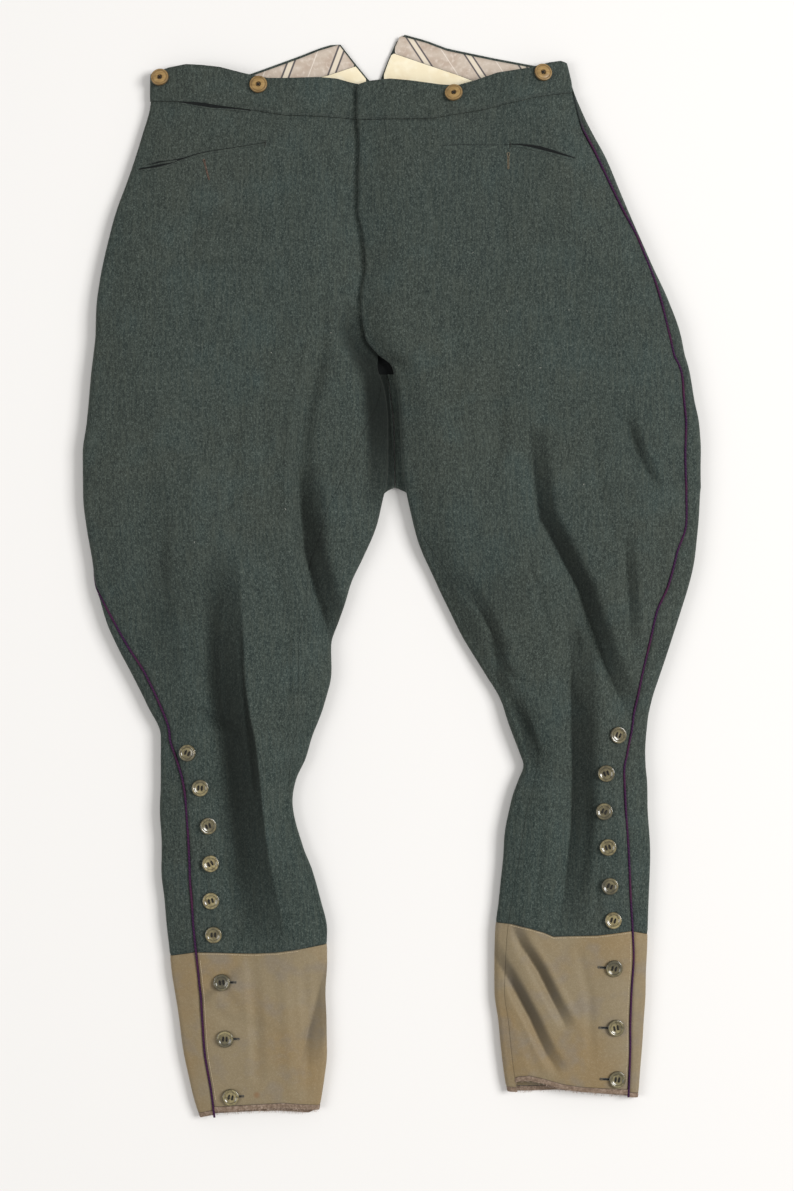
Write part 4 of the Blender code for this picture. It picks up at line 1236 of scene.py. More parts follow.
# %% Group: ribs of a weave
def make_rib_group():
    group, given, made = new_group(
        "woven_ribs",
        [("Vector", "Vector", None), ("Ribs per metre", "Float", 1000.0), ("Turn", "Float", 0.0)],
        [("Height", "Float")],
    )
    inputs = {"Vector": given["Vector"], "Angle": given["Turn"]}
    turned = add_node(group, "ShaderNodeVectorRotate", inputs, rotation_type="Z_AXIS").outputs[0]
    wobble = noise(group, given["Vector"], 260.0, 1.0)
    pitch = times(group, given["Ribs per metre"], 2 * math.pi)
    phase = times(group, split(group, turned)[0], pitch)
    phase = maths(group, "ADD", phase, times(group, wobble, 4.0))
    wave = maths(group, "ADD", maths(group, "SINE", phase), 1.0)
    group.links.new(times(group, wave, 0.5), made["Height"])
    return group


WOVEN_RIBS = make_rib_group()


# %% Group: soft tints of wear
def make_tint_group():
    group, given, made = new_group(
        "wear_tints",
        [("Vector", "Vector", None), ("Color", "Color", (0.5, 0.5, 0.5, 1)),
         ("Warm", "Color", (0.5, 0.45, 0.4, 1)), ("Pale", "Color", (0.6, 0.6, 0.6, 1)),
         ("Per metre", "Float", 8.0), ("Amount", "Float", 0.5)],
        [("Color", "Color"), ("Patch", "Float")],
    )
    place, pitch, amount = given["Vector"], given["Per metre"], given["Amount"]
    broad = noise(group, place, pitch, 3.0, Roughness=0.55)
    other = vector_maths(group, "ADD", place, (5.3, 2.9, 0.7))
    small = noise(group, other, times(group, pitch, 4.0), 2.0)
    warm = times(group, remap(group, broad, 0.44, 0.62), amount, clamp=True)
    pale = times(group, remap(group, small, 0.5, 0.72), amount, clamp=True)
    colour = blend(group, warm, given["Color"], given["Warm"])
    group.links.new(blend(group, pale, colour, given["Pale"]), made["Color"])
    group.links.new(broad, made["Patch"])
    return group


WEAR_TINTS = make_tint_group()


# %% Group: shade where cloth turns into a seam
def make_seam_group():
    group, given, made = new_group(
        "seam_shade",
        [("Color", "Color", (0.5, 0.5, 0.5, 1)), ("Seam", "Float", 0.0), ("Depth", "Float", 0.5)],
        [("Color", "Color")],
    )
    amount = times(group, given["Seam"], given["Depth"], clamp=True)
    colour = blend(group, amount, given["Color"], (0.004, 0.005, 0.005, 1.0))
    group.links.new(colour, made["Color"])
    return group


SEAM_SHADE = make_seam_group()


def seamed(tree, colour, depth):
    """A cloth's colour, darkened where it turns into a seam."""
    inputs = {"Color": colour, "Seam": marked(tree, "seam"), "Depth": depth}
    return place_group(tree, SEAM_SHADE, inputs)["Color"]


def ribs_of(tree, place, per_metre, turn):
    inputs = {"Vector": place, "Ribs per metre": per_metre, "Turn": turn}
    return place_group(tree, WOVEN_RIBS, inputs)["Height"]


def tints_of(tree, place, colour, warm, pale, per_metre, amount):
    inputs = {
        "Vector": place, "Color": colour, "Warm": warm, "Pale": pale,
        "Per metre": per_metre, "Amount": amount,
    }
    return place_group(tree, WEAR_TINTS, inputs)["Color"]


def flecks_of(tree, place, base, light, dark, per_metre, amount):
    inputs = {
        "Vector": place, "Base": base, "Light": light, "Dark": dark,
        "Per metre": per_metre, "Amount": amount,
    }
    return place_group(tree, YARN_FLECKS, inputs)


# %% Start a material
def new_material(name, roughness, specular=0.3, sheen=0.0, sheen_tint=(1, 1, 1, 1)):
    """A material with its shader's plain numbers set; returns it, its tree and the shader."""
    material = bpy.data.materials.new(name)
    material.use_nodes = True
    shader = material.node_tree.nodes["Principled BSDF"]
    shader.inputs["Roughness"].default_value = roughness
    shader.inputs["Specular IOR Level"].default_value = specular
    shader.inputs["Sheen Weight"].default_value = sheen
    shader.inputs["Sheen Roughness"].default_value = 0.45
    shader.inputs["Sheen Tint"].default_value = sheen_tint
    return material, material.node_tree, shader


# %% [markdown]
# ## Melange wool
#
# The wool is spun from fibres of teal, grey and brown, so up close it is all flecks. It
# has a faint grain along the leg, large brownish tints from wear, and a short nap that
# catches light at its edges. Below the knee it is a little paler and bluer.

# %% Wool
def make_wool():
    material, tree, shader = new_material("melange_wool", 0.95, 0.12, 0.22, srgb(176, 182, 172))
    place, solid = cloth_place(tree), solid_place(tree)
    lower = remap(tree, split(tree, solid)[1], 0.02, -0.26)
    base = blend(tree, lower, srgb(50, 58, 55), srgb(48, 58, 55))
    tinted = tints_of(tree, solid, base, srgb(54, 59, 54), srgb(54, 65, 63), 6.0, 0.7)
    drawn = stretched(tree, place, (1.0, 0.55, 1.0))
    flecked = flecks_of(tree, drawn, tinted, srgb(98, 107, 100), srgb(21, 27, 27), 1150.0, 0.8)
    grain = noise(tree, stretched(tree, place, (1.0, 0.07, 1.0)), 480.0, 2.0)
    grain = remap(tree, grain, 0.42, 0.68, 0.0, 0.35)
    colour = seamed(tree, blend(tree, grain, flecked["Color"], srgb(76, 82, 74)), 0.45)
    # Painted shade: the wool darkens in the sharp folds and broad patches.
    painted_shade = times(tree, marked(tree, "painted_shade"), 0.72)
    colour = blend(tree, painted_shade, colour, srgb(19, 22, 20))
    tree.links.new(colour, shader.inputs["Base Color"])
    ribs = times(tree, ribs_of(tree, place, 900.0, 0.12), 0.06)
    bump(tree, shader, maths(tree, "ADD", flecked["Height"], ribs), 0.3, 0.0003)
    return material


# %% [markdown]
# ## Canvas, tape and thread
#
# The lower legs are a close khaki twill with a soft shine and a few stains. The hems are
# bound with mauve-brown tape, and its cut edge has frayed to threads.

# %% Canvas
STAIN_PLACE = (-0.1344, -0.5171, 0.0)


def make_canvas():
    material, tree, shader = new_material("khaki_twill", 0.62, 0.28, 0.12, srgb(220, 214, 200))
    place, solid = cloth_place(tree), solid_place(tree)
    base, warm, pale = srgb(128, 114, 88), srgb(130, 108, 72), srgb(120, 110, 96)
    tinted = tints_of(tree, solid, base, warm, pale, 11.0, 0.7)
    flecked = flecks_of(tree, place, tinted, srgb(158, 148, 126), srgb(104, 94, 76), 1100.0, 0.35)
    spot = vector_maths(tree, "SUBTRACT", solid, STAIN_PLACE)
    far = vector_maths(tree, "LENGTH", vector_maths(tree, "MULTIPLY", spot, (1.0, 1.0, 0.0)))
    stain = remap(tree, far, 0.0042, 0.0012, 0.0, 0.55)
    colour = seamed(tree, blend(tree, stain, flecked["Color"], srgb(122, 84, 52)), 0.3)
    # Painted shade in the sharp folds of the canvas.
    painted_shade = times(tree, marked(tree, "painted_shade"), 0.55, clamp=True)
    colour = blend(tree, painted_shade, colour, srgb(58, 52, 42))
    tree.links.new(colour, shader.inputs["Base Color"])
    bump(tree, shader, ribs_of(tree, place, 900.0, 0.8), 0.25, 0.0002)
    return material


# %% Tape, fray and sewing thread
def make_tape(name, colour, pale, dark):
    material, tree, shader = new_material(name, 0.9, 0.2, 0.1)
    flecked = flecks_of(tree, solid_place(tree), colour, pale, dark, 520.0, 0.8)
    tree.links.new(flecked["Color"], shader.inputs["Base Color"])
    bump(tree, shader, flecked["Height"], 0.5, 0.0004)
    return material


# %% [markdown]
# ## Piping
#
# The piping is cloth wound round a cord: deep purple, with a slanting twist that shows as
# fine darker lines along it.

# %% Piping
def make_piping_finish():
    material, tree, shader = new_material("purple_piping", 0.75, 0.2, 0.15, srgb(150, 110, 160))
    place = cloth_place(tree)
    ribs = ribs_of(tree, place, 420.0, 0.9)
    colour = blend(tree, ribs, srgb(36, 12, 42), srgb(60, 24, 63))
    patches = remap(tree, noise(tree, place, 30.0, 2.0), 0.45, 0.7, 0.0, 0.6)
    colour = blend(tree, patches, colour, srgb(72, 28, 50))
    top_end = remap(tree, split(tree, solid_place(tree))[1], 0.438, 0.452)
    colour = blend(tree, top_end, colour, srgb(46, 52, 50))
    tree.links.new(colour, shader.inputs["Base Color"])
    bump(tree, shader, ribs, 0.5, 0.0003)
    return material


# %% [markdown]
# ## Striped satin and cream cotton
#
# The flaps are faced with taupe satin. Its stripes come in groups: a cream band between
# two thin dark lines, and a pale line half way to the next group. The cloth was cut on a
# slant, a different one for each flap, so the slant is an input of the stripe group.

# %% Group: slanting stripes
def make_stripe_group():
    group, given, made = new_group(
        "slanting_stripes",
        [("Vector", "Vector", None), ("Slant", "Float", 0.4),
         ("Start", "Float", 0.0), ("Period", "Float", 0.046)],
        [("Band", "Float"), ("Line", "Float"), ("Pale line", "Float")],
    )
    parts = split(group, given["Vector"])
    across = maths(group, "SUBTRACT", parts[0], times(group, parts[1], given["Slant"]))
    across = maths(group, "SUBTRACT", across, given["Start"])
    half = times(group, given["Period"], 0.5)
    offset = maths(group, "WRAP", across, half, times(group, half, -1.0))
    distance = maths(group, "ABSOLUTE", offset)
    group.links.new(remap(group, distance, 0.0026, 0.0021), made["Band"])
    line = maths(group, "ABSOLUTE", maths(group, "SUBTRACT", distance, 0.0035))
    group.links.new(remap(group, line, 0.0012, 0.0006), made["Line"])
    pale = maths(group, "SUBTRACT", half, distance)
    group.links.new(remap(group, pale, 0.0007, 0.0003), made["Pale line"])
    return group


SLANTING_STRIPES = make_stripe_group()


# %% Satin, cotton
def make_satin(name, slant, start, period):
    material, tree, shader = new_material(name, 0.42, 0.45, 0.2, srgb(240, 232, 226))
    place = cloth_place(tree)
    inputs = {"Vector": place, "Slant": slant, "Start": start, "Period": period}
    stripes = place_group(tree, SLANTING_STRIPES, inputs)
    base, warm, light = srgb(192, 178, 163), srgb(178, 160, 144), srgb(206, 193, 180)
    colour = tints_of(tree, place, base, warm, light, 60.0, 0.9)
    colour = blend(tree, times(tree, stripes["Pale line"], 0.7), colour, srgb(226, 216, 204))
    colour = blend(tree, stripes["Band"], colour, srgb(216, 204, 184))
    colour = blend(tree, times(tree, stripes["Line"], 0.95), colour, srgb(70, 68, 72))
    tree.links.new(seamed(tree, colour, 0.25), shader.inputs["Base Color"])
    bump(tree, shader, noise(tree, place, 900.0, 1.0), 0.15, 0.0002)
    return material


def make_cotton():
    material, tree, shader = new_material("cream_cotton", 0.85, 0.2, 0.05)
    place = cloth_place(tree)
    base, warm, light = srgb(232, 220, 190), srgb(222, 206, 172), srgb(240, 232, 208)
    tinted = tints_of(tree, place, base, warm, light, 22.0, 0.8)
    tree.links.new(tinted, shader.inputs["Base Color"])
    bump(tree, shader, ribs_of(tree, place, 1100.0, 0.0), 0.2, 0.0002)
    return material


# %% [markdown]
# ## Horn and nut
#
# Leg buttons are polished olive horn with darker clouds, brace buttons are turned from
# tan nut, whose fine grain runs one way.

# %% Horn and nut
def make_horn():
    material, tree, shader = new_material("olive_horn", 0.2, 0.6)
    solid = solid_place(tree)
    clouds = noise(tree, solid, 170.0, 3.0, Distortion=1.2)
    colour = blend(tree, remap(tree, clouds, 0.38, 0.66), srgb(150, 138, 98), srgb(92, 82, 54))
    each = remap(tree, noise(tree, solid, 27.0, 1.0), 0.42, 0.62, 0.0, 0.8)
    colour = blend(tree, each, colour, srgb(62, 60, 48))
    # Painted shade on the rim, the step and the middle of the button.
    colour = blend(tree, times(tree, marked(tree, "rim"), 0.8), colour, srgb(40, 37, 24))
    tree.links.new(colour, shader.inputs["Base Color"])
    shader.inputs["Coat Weight"].default_value = 0.5
    shader.inputs["Coat Roughness"].default_value = 0.08
    bump(tree, shader, clouds, 0.08, 0.0003)
    return material


def make_nut():
    material, tree, shader = new_material("tan_nut", 0.38, 0.4)
    solid = solid_place(tree)
    grain = noise(tree, stretched(tree, solid, (0.25, 1.0, 1.0)), 700.0, 3.0)
    colour = blend(tree, remap(tree, grain, 0.35, 0.7), srgb(140, 112, 68), srgb(166, 136, 88))
    clouds = remap(tree, noise(tree, solid, 120.0, 2.0), 0.5, 0.72, 0.0, 0.6)
    colour = blend(tree, clouds, colour, srgb(108, 84, 48))
    # Painted shade on the rim, the step and the middle of the button.
    colour = blend(tree, times(tree, marked(tree, "rim"), 0.7), colour, srgb(66, 48, 28))
    tree.links.new(colour, shader.inputs["Base Color"])
    bump(tree, shader, grain, 0.1, 0.0002)
    return material


MATERIALS = {
    "wool": make_wool(),
    "canvas": make_canvas(),
    "tape": make_tape("hem_tape", srgb(122, 104, 88), srgb(160, 142, 128), srgb(84, 68, 58)),
    "piping": make_piping_finish(),
    "satin_right": make_satin("striped_satin_right", 0.38, -0.2955, 0.0453),
    "satin_left": make_satin("striped_satin_left", -0.66, 0.3719, 0.047),
    "cotton": make_cotton(),
    "horn": make_horn(),
    "nut": make_nut(),
}
YARNS = (
    ("thread", "dark_thread", (36, 34, 32), (60, 56, 52), (20, 19, 19)),
    ("canvas_thread", "khaki_thread", (172, 156, 128), (196, 182, 156), (134, 120, 96)),
    ("hole_thread", "slate_thread", (74, 74, 72), (108, 106, 98), (44, 45, 48)),
    ("rust_thread", "rust_thread", (98, 80, 70), (126, 106, 92), (66, 54, 46)),
    ("brown_thread", "brown_thread", (114, 104, 86), (150, 136, 114), (72, 64, 52)),
    ("wool_thread", "wool_thread", (66, 73, 68), (92, 98, 90), (40, 46, 44)),
    ("fray", "frayed_tape", (172, 152, 138), (206, 192, 180), (120, 98, 88)),
    ("lint", "pale_lint", (176, 176, 166), (214, 212, 204), (132, 130, 122)),
    # The last yarn is near-black cloth, painted shadow for pocket mouths, buttonhole slits, a seam
    # line and the gap at the crotch.
    ("inside", "pocket_inside", (16, 19, 19), (24, 28, 27), (8, 10, 10)),
)
for key, name, *colours in YARNS:
    MATERIALS[key] = make_tape(name, *(srgb(*colour) for colour in colours))
SLOT_OF = {
    "front": "wool", "back": "wool", "waistband": "wool",
    "canvas_front": "canvas", "canvas_back": "canvas",
    "binding_front": "tape", "binding_back": "tape",
}
for leg in ("right", "left"):
    for part, piece in PANELS[leg].items():
        piece.data.materials.append(MATERIALS[SLOT_OF[part]])
    LINING[leg]["satin"].data.materials.append(MATERIALS["satin_" + leg])
    LINING[leg]["cotton"].data.materials.append(MATERIALS["cotton"])
    PIPING[leg].data.materials.append(MATERIALS["piping"])
print("materials:", len(MATERIALS))


# %% [markdown]
# ## Seating trim on the cloth
#
# Buttons, jets and stitches lie on the finished cloth, so each one first finds the height
# and the slope of the cloth under it by a ray from above.

# %% Find the cloth below a point
def upper_trees():
    graph = bpy.context.evaluated_depsgraph_get()
    tops = ("front", "canvas_front", "waistband", "binding_front", "back", "canvas_back")
    return [BVHTree.FromObject(PANELS[leg][part], graph) for leg in PANELS for part in tops]


CLOTH_TREES = upper_trees()


def top_of(x, y):
    """Height in mm of the cloth's highest face at x and y, or None off the cloth."""
    above, down = Vector((x * MM, y * MM, 1.0)), Vector((0, 0, -1))
    hits = [tree.ray_cast(above, down)[0] for tree in CLOTH_TREES]
    heights = [hit.z / MM for hit in hits if hit is not None]
    return max(heights) if heights else None


def on_cloth(path, lift, count=None):
    """Points of a path, in x and y, read evenly and laid on the cloth, lift above it."""
    nodes = np.array(path, float)
    way = way_along(nodes)
    count = count or max(4, int(way[-1] / 1.5))
    at = np.linspace(0, way[-1], count)
    xs, ys = np.interp(at, way, nodes[:, 0]), np.interp(at, way, nodes[:, 1])
    heights = [top_of(x, y) for x, y in zip(xs, ys)]
    known = [h for h in heights if h is not None]
    heights = [h if h is not None else min(known) for h in heights]
    smooth = np.convolve(np.pad(heights, 1, mode="edge"), (0.25, 0.5, 0.25), mode="valid")
    return np.stack([xs, ys, smooth + lift], axis=1)


def cloth_seat(x, y, radius):
    """Where a disc rests on the cloth: its centre in mm and its axis."""
    ways = [turn * math.pi / 6 for turn in range(12)]
    rim = [
        (reach * radius * math.cos(way), reach * radius * math.sin(way))
        for way in ways for reach in (0.5, 0.95)
    ]
    found = [(dx, dy, top_of(x + dx, y + dy)) for dx, dy in rim]
    found = np.array([spot for spot in found if spot[2] is not None])
    flat = np.column_stack([found[:, :2], np.ones(len(found))])
    slope = np.linalg.lstsq(flat, found[:, 2], rcond=None)[0]
    slope[:2] = np.clip(slope[:2], -0.35, 0.35)
    lift = np.percentile(found[:, 2] - found[:, :2] @ slope[:2], 80)
    return Vector((x, y, lift + 0.1)), Vector((-slope[0], -slope[1], 1)).normalized()


# %% [markdown]
# ## Leg buttons
#
# A four-hole horn button: a disc with a rounded rim and a dished middle. It is modelled
# once from a cylinder, by bevelling the rim and insetting the face down into a dish. The
# holes are cut with small cylinders, and two stitches of dark thread cross them.

# %% Modelling helpers
def select_faces(piece, test):
    """In edit mode, selects just the faces that pass a test."""
    bpy.ops.mesh.select_mode(type="FACE")
    bpy.ops.mesh.select_all(action="DESELECT")
    work = bmesh.from_edit_mesh(piece.data)
    work.normal_update()
    for face in work.faces:
        face.select = test(face)
    work.select_flush_mode()
    bmesh.update_edit_mesh(piece.data)


def start_disc(name, radius, height, sides):
    """A cylinder standing on z = 0, in edit mode, its two rims rounded."""
    bpy.ops.object.select_all(action="DESELECT")
    bpy.ops.mesh.primitive_cylinder_add(
        vertices=sides, radius=radius * MM, depth=height * MM, location=(0, 0, height / 2 * MM)
    )
    disc = bpy.context.object
    disc.name = name
    bpy.ops.object.transform_apply(location=True, rotation=True, scale=True)
    bpy.ops.object.mode_set(mode="EDIT")
    bpy.ops.mesh.select_mode(type="EDGE")
    bpy.ops.mesh.select_all(action="DESELECT")
    work = bmesh.from_edit_mesh(disc.data)
    for edge in work.edges:
        flat = abs(edge.verts[0].co.z - edge.verts[1].co.z) < 1e-6
        edge.select = flat and edge.calc_length() < radius * MM
    bmesh.update_edit_mesh(disc.data)
    bpy.ops.mesh.bevel(offset=0.28 * height * MM, segments=3)
    return disc


def top_face(face):
    return face.normal.z > 0.99 and face.calc_area() > 1e-5


def inset_top(piece, steps):
    """Insets the middle face of a disc by each (inset, rise) in turn, in mm."""
    select_faces(piece, top_face)
    for inset, rise in steps:
        bpy.ops.mesh.inset(thickness=inset * MM, depth=rise * MM)


def cut_holes(piece, places, radius, height):
    """Drills round holes straight through a button."""
    for x, y in places:
        bpy.ops.object.select_all(action="DESELECT")
        bpy.ops.mesh.primitive_cylinder_add(
            vertices=12, radius=radius * MM, depth=4 * height * MM, location=(x * MM, y * MM, 0)
        )
        drill = bpy.context.object
        select_only(piece)
        cut = piece.modifiers.new("Hole", "BOOLEAN")
        cut.operation = "DIFFERENCE"
        cut.solver = "EXACT"
        cut.object = drill
        bpy.ops.object.modifier_apply(modifier=cut.name)
        bpy.data.objects.remove(drill, do_unlink=True)


def join_pieces(name, pieces):
    """Joins pieces into the first one, materials kept."""
    bpy.ops.object.select_all(action="DESELECT")
    for piece in pieces:
        piece.select_set(True)
    bpy.context.view_layer.objects.active = pieces[0]
    if len(pieces) > 1:
        bpy.ops.object.join()
    joined = bpy.context.view_layer.objects.active
    joined.name = name
    joined.data.name = name
    return joined


def mark_painted_rim_shade(piece, radius, step, hollow):
    """Marks where painted shade darkens a button: the rim, a step at one radius, and a hollow."""
    values = []
    for vertex in piece.data.vertices:
        out = math.hypot(vertex.co.x, vertex.co.y) / MM
        marks = ((out - radius + 0.9) / 0.7, 1 - abs(out - step) / 0.4, (hollow + 0.3 - out) / 0.4)
        values.append(min(1.0, max(0.0, *marks)))
    rim = piece.data.attributes.new("rim", "FLOAT", "POINT")
    rim.data.foreach_set("value", values)


# %% Model the leg button
LEG_BUTTON_RADIUS = 8.4
LEG_BUTTON_HEIGHT = 2.9
HOLE_PLACE = 1.75
leg_button = start_disc("leg_button_pattern", LEG_BUTTON_RADIUS, LEG_BUTTON_HEIGHT, 40)
inset_top(leg_button, ((1.3, 0.0), (0.5, -0.35), (0.6, -0.35), (0.9, -0.2), (1.0, -0.1)))
bpy.ops.object.mode_set(mode="OBJECT")
holes = [(x, y) for x in (-HOLE_PLACE, HOLE_PLACE) for y in (-HOLE_PLACE, HOLE_PLACE)]
cut_holes(leg_button, holes, 0.8, LEG_BUTTON_HEIGHT)
finish_shape(leg_button, 40)
mark_painted_rim_shade(leg_button, LEG_BUTTON_RADIUS, 5.79, 0.0)
leg_button.data.materials.append(MATERIALS["horn"])
stitches = []
for x in (-HOLE_PLACE, HOLE_PLACE):
    hoop = [
        (x, HOLE_PLACE * 1.15 * math.cos(turn), 0.5 + 1.85 * abs(math.sin(turn)) ** 0.5)
        for turn in np.linspace(0, math.pi, 9)
    ]
    stitch = tube_mesh("leg_button_thread", hoop, 0.95, 6)
    stitch.data.materials.append(MATERIALS["thread"])
    stitches.append(stitch)
leg_button = join_pieces("leg_button_pattern", [leg_button, *stitches])
print("leg button faces:", len(leg_button.data.polygons))

# %% [markdown]
# ## Brace buttons
#
# Turned from tan nut: a flat disc with a raised ring and a small recess in the middle,
# darkened with painted shade, in which the thread crosses.

# %% Model the brace button
BRACE_BUTTON_RADIUS = 8.9
BRACE_BUTTON_HEIGHT = 2.6
brace_button = start_disc("brace_button_pattern", BRACE_BUTTON_RADIUS, BRACE_BUTTON_HEIGHT, 44)
inset_top(brace_button, (
    (0.9, 0.0), (0.25, -0.25), (0.8, 0.0), (0.2, 0.12), (3.1, 0.0), (0.45, -0.7), (0.3, -0.3),
))
bpy.ops.object.mode_set(mode="OBJECT")
finish_shape(brace_button, 40)
mark_painted_rim_shade(brace_button, BRACE_BUTTON_RADIUS, 7.02, 2.5)
brace_button.data.materials.append(MATERIALS["nut"])
cross = []
for turn in (0.25, 0.75):
    across, along = 2.0 * math.cos(turn * math.pi), 2.0 * math.sin(turn * math.pi)
    points = [
        (across * c, along * c, BRACE_BUTTON_HEIGHT - 1.0 + 0.5 * math.cos(c * 1.5))
        for c in np.linspace(-1, 1, 9)
    ]
    thread = tube_mesh("brace_button_thread", points, 0.55, 6)
    thread.data.materials.append(MATERIALS["thread"])
    cross.append(thread)
brace_button = join_pieces("brace_button_pattern", [brace_button, *cross])
print("brace button faces:", len(brace_button.data.polygons))

# %% [markdown]
# ## Sewing the buttons on
#
# Each button is a copy with its own mesh. It rests on the cloth at the cloth's slope, and
# is turned a little by hand, as sewn buttons are.

# %% Copy the buttons to their places
LEG_BUTTONS = {
    "right": (
        (-202.6, -176.7), (-190.4, -211.4), (-182.6, -249.0), (-180.1, -286.4), (-179.4, -323.2),
        (-176.8, -356.8), (-168.6, -404.5), (-165.6, -460.7), (-160.3, -519.1),
    ),
    "left": (
        (223.9, -158.7), (212.2, -196.6), (210.3, -234.5), (214.0, -269.9), (216.0, -308.6),
        (219.3, -342.7), (220.3, -390.5), (222.2, -450.0), (223.8, -501.6),
    ),
}
BRACE_BUTTONS = {
    "right": ((-231.0, 495.0), (-132.7, 487.0)), "left": ((61.4, 478.0), (150.0, 499.0)),
}
BRACE_TILT = {"right": ((0.05, 0.2), (-0.02, 0.12)), "left": ((-0.12, 0.02), (0.05, 0.14))}
SEWN_TURN = 0.45


def sew_on(pattern, name, place, radius, tilt):
    """A copy of a button, on the cloth's slope and a little turned and tilted."""
    centre, axis = cloth_seat(place[0], place[1], radius)
    axis = (axis + Vector((tilt[0], tilt[1], 0.0))).normalized()
    turn = Matrix.Rotation(RNG.uniform(-SEWN_TURN, SEWN_TURN), 4, "Z")
    lean = Vector((0, 0, 1)).rotation_difference(axis).to_matrix().to_4x4()
    copy = new_piece(name, pattern.data.copy())
    copy.data.transform(Matrix.Translation(centre * MM) @ lean @ turn)
    return copy


BUTTONS = []
for leg in ("right", "left"):
    for number, place in enumerate(LEG_BUTTONS[leg], 1):
        tilt = (RNG.uniform(-0.06, 0.06), RNG.uniform(-0.06, 0.06))
        name = f"leg_button_{leg}_{number}"
        piece = sew_on(leg_button, name + "_horn", place, LEG_BUTTON_RADIUS, tilt)
        BUTTONS.append((piece, name, "horn"))
    for number, (place, tilt) in enumerate(zip(BRACE_BUTTONS[leg], BRACE_TILT[leg]), 1):
        name = f"brace_button_{leg}_{number}"
        piece = sew_on(brace_button, name + "_nut", place, BRACE_BUTTON_RADIUS, tilt)
        BUTTONS.append((piece, name, "nut"))
for pattern in (leg_button, brace_button):
    bpy.data.objects.remove(pattern, do_unlink=True)
print("buttons sewn on:", len(BUTTONS))

# %% [markdown]
# ## Pockets
#
# The slanted pockets are cut into the front and edged with narrow jets of the same wool.
# Their outer ends gape a little. Each mouth is a dark lens of painted shadow between an
# upper lip and the jet below it, all laid on the cloth's own slope, with a short tack at
# the inner end.

# %% Pocket mouths, lips and jets
RIBBON_WALL = 0.3


def ribbon(name, upper, lower, lift):
    """A dark strip of painted shadow between two paths, lying on the cloth."""
    count = max(12, int(abs(upper[-1][0] - upper[0][0]) / 2))
    rows = [on_cloth(path, lift, count) for path in (upper, lower)]
    top = np.maximum(rows[0][:, 2], rows[1][:, 2])
    for row in rows:
        row[:, 2] = top
    grid = np.stack(rows)
    grid = np.concatenate([grid, grid[..., :1], np.zeros(grid.shape[:2] + (1,))], axis=2)
    piece = cloth_mesh(name, [grid], RIBBON_WALL)
    piece.data.materials.append(MATERIALS["inside"])
    return piece


def lip(name, path, width, height, sink, material):
    """A flat roll of cloth along a path, half sunk in the cloth below it."""
    points = on_cloth(path, height / 2 - sink)
    share = np.linspace(0, 1, len(points))
    ends = np.clip(np.minimum(share, 1 - share) * len(points) / 3, 0.25, 1)
    piece = tube_mesh(name, points, width / 2 * ends, 8, flatten=height / width)
    piece.data.materials.append(material)
    return piece


POCKET_UPPER = {
    "right": (
        (-252, 403.6), (-243, 407.4), (-232, 410.6), (-220, 411.6), (-207, 414), (-192, 418.6),
        (-179, 421.3), (-156, 424.7), (-126, 429.3),
    ),
    "left": ((117, 427.4), (125, 427.8), (134, 426.9), (147, 425.2), (160, 421.2), (182, 414)),
}
POCKET_LOWER = {
    "right": (
        (-252, 403), (-234, 404.8), (-219, 408.4), (-206, 413), (-192, 417.8), (-179, 420.6),
        (-156, 424.1), (-126, 428.8),
    ),
    "left": ((117, 427.0), (125, 426.4), (138, 424.0), (155, 419.6), (170, 415.9), (182, 413.4)),
}
# The closed part of the left pocket's seam, seen as a faint line
POCKET_CLOSED = ((47, 426), (73, 426.8), (108, 426.4), (119, 427.2))
# The turned edge that shows inside the gaping end of the right pocket
INNER_JET = ((-249, 405.0), (-240, 406.9), (-230, 408.6), (-221, 409.9), (-213, 411.3))
JET_WIDTH = 3.0
TRIM = []


def make_pocket(leg):
    wool, inside = MATERIALS["wool"], MATERIALS["inside"]
    upper, lower = POCKET_UPPER[leg], POCKET_LOWER[leg]
    # The mouth is painted shadow: a near-black strip between the lips.
    mouth = ribbon(f"pocket_mouth_{leg}", upper, lower, 0.35)
    upper_lip = lip(f"pocket_lip_{leg}", shifted(upper, 0.75), 1.9, 1.5, 0.55, wool)
    lower_jet = lip(f"pocket_jet_{leg}", shifted(lower, -JET_WIDTH / 2), JET_WIDTH, 1.5, 0.5, wool)
    ditch_line = shifted(lower, -JET_WIDTH - 0.2)
    ditch = lip(f"pocket_ditch_{leg}", ditch_line, 0.5, 0.4, 0.28, MATERIALS["wool_thread"])
    if leg == "left":
        # The closed seam's line is drawn in the same near-black painted shadow cloth.
        closed = lip("pocket_seam_left", POCKET_CLOSED, 0.55, 0.4, 0.26, inside)
        ditch = join_pieces("pocket_ditch_left", [ditch, closed])
    x, y = lower[-1] if leg == "right" else lower[0]
    tack_line = ((x, y + 3.2), (x + 0.3, y), (x, y - 5.0))
    tack = lip(f"pocket_tack_{leg}", tack_line, 1.1, 1.0, 0.3, MATERIALS["thread"])
    jets = [upper_lip, lower_jet]
    if leg == "right":
        jets.append(lip("pocket_inner_jet_right", INNER_JET, 1.9, 1.4, 0.3, wool))
    pocket = join_pieces(f"pocket_jets_{leg}", jets)
    shade = join_pieces(f"pocket_mouth_{leg}", [mouth, ditch])
    TRIM.extend([(pocket, "wool"), (shade, "wool"), (tack, "wool")])
    return pocket


POCKETS = {leg: make_pocket(leg) for leg in ("right", "left")}

# %% [markdown]
# ## Fob pocket
#
# A small pocket is left open in the right waist seam: the seam gapes as a narrow lens
# under the waistband, with a turned edge below it.

# %% Fob pocket
FOB_UPPER = (
    (-212, 470.7), (-195, 469.7), (-186, 468.8), (-171, 466.2), (-158, 463.9), (-140, 461.7),
)
FOB_LOWER = (
    (-212, 470.2), (-203, 468.0), (-193, 466.0), (-178, 463.9), (-160, 462.8), (-140, 461.1),
)
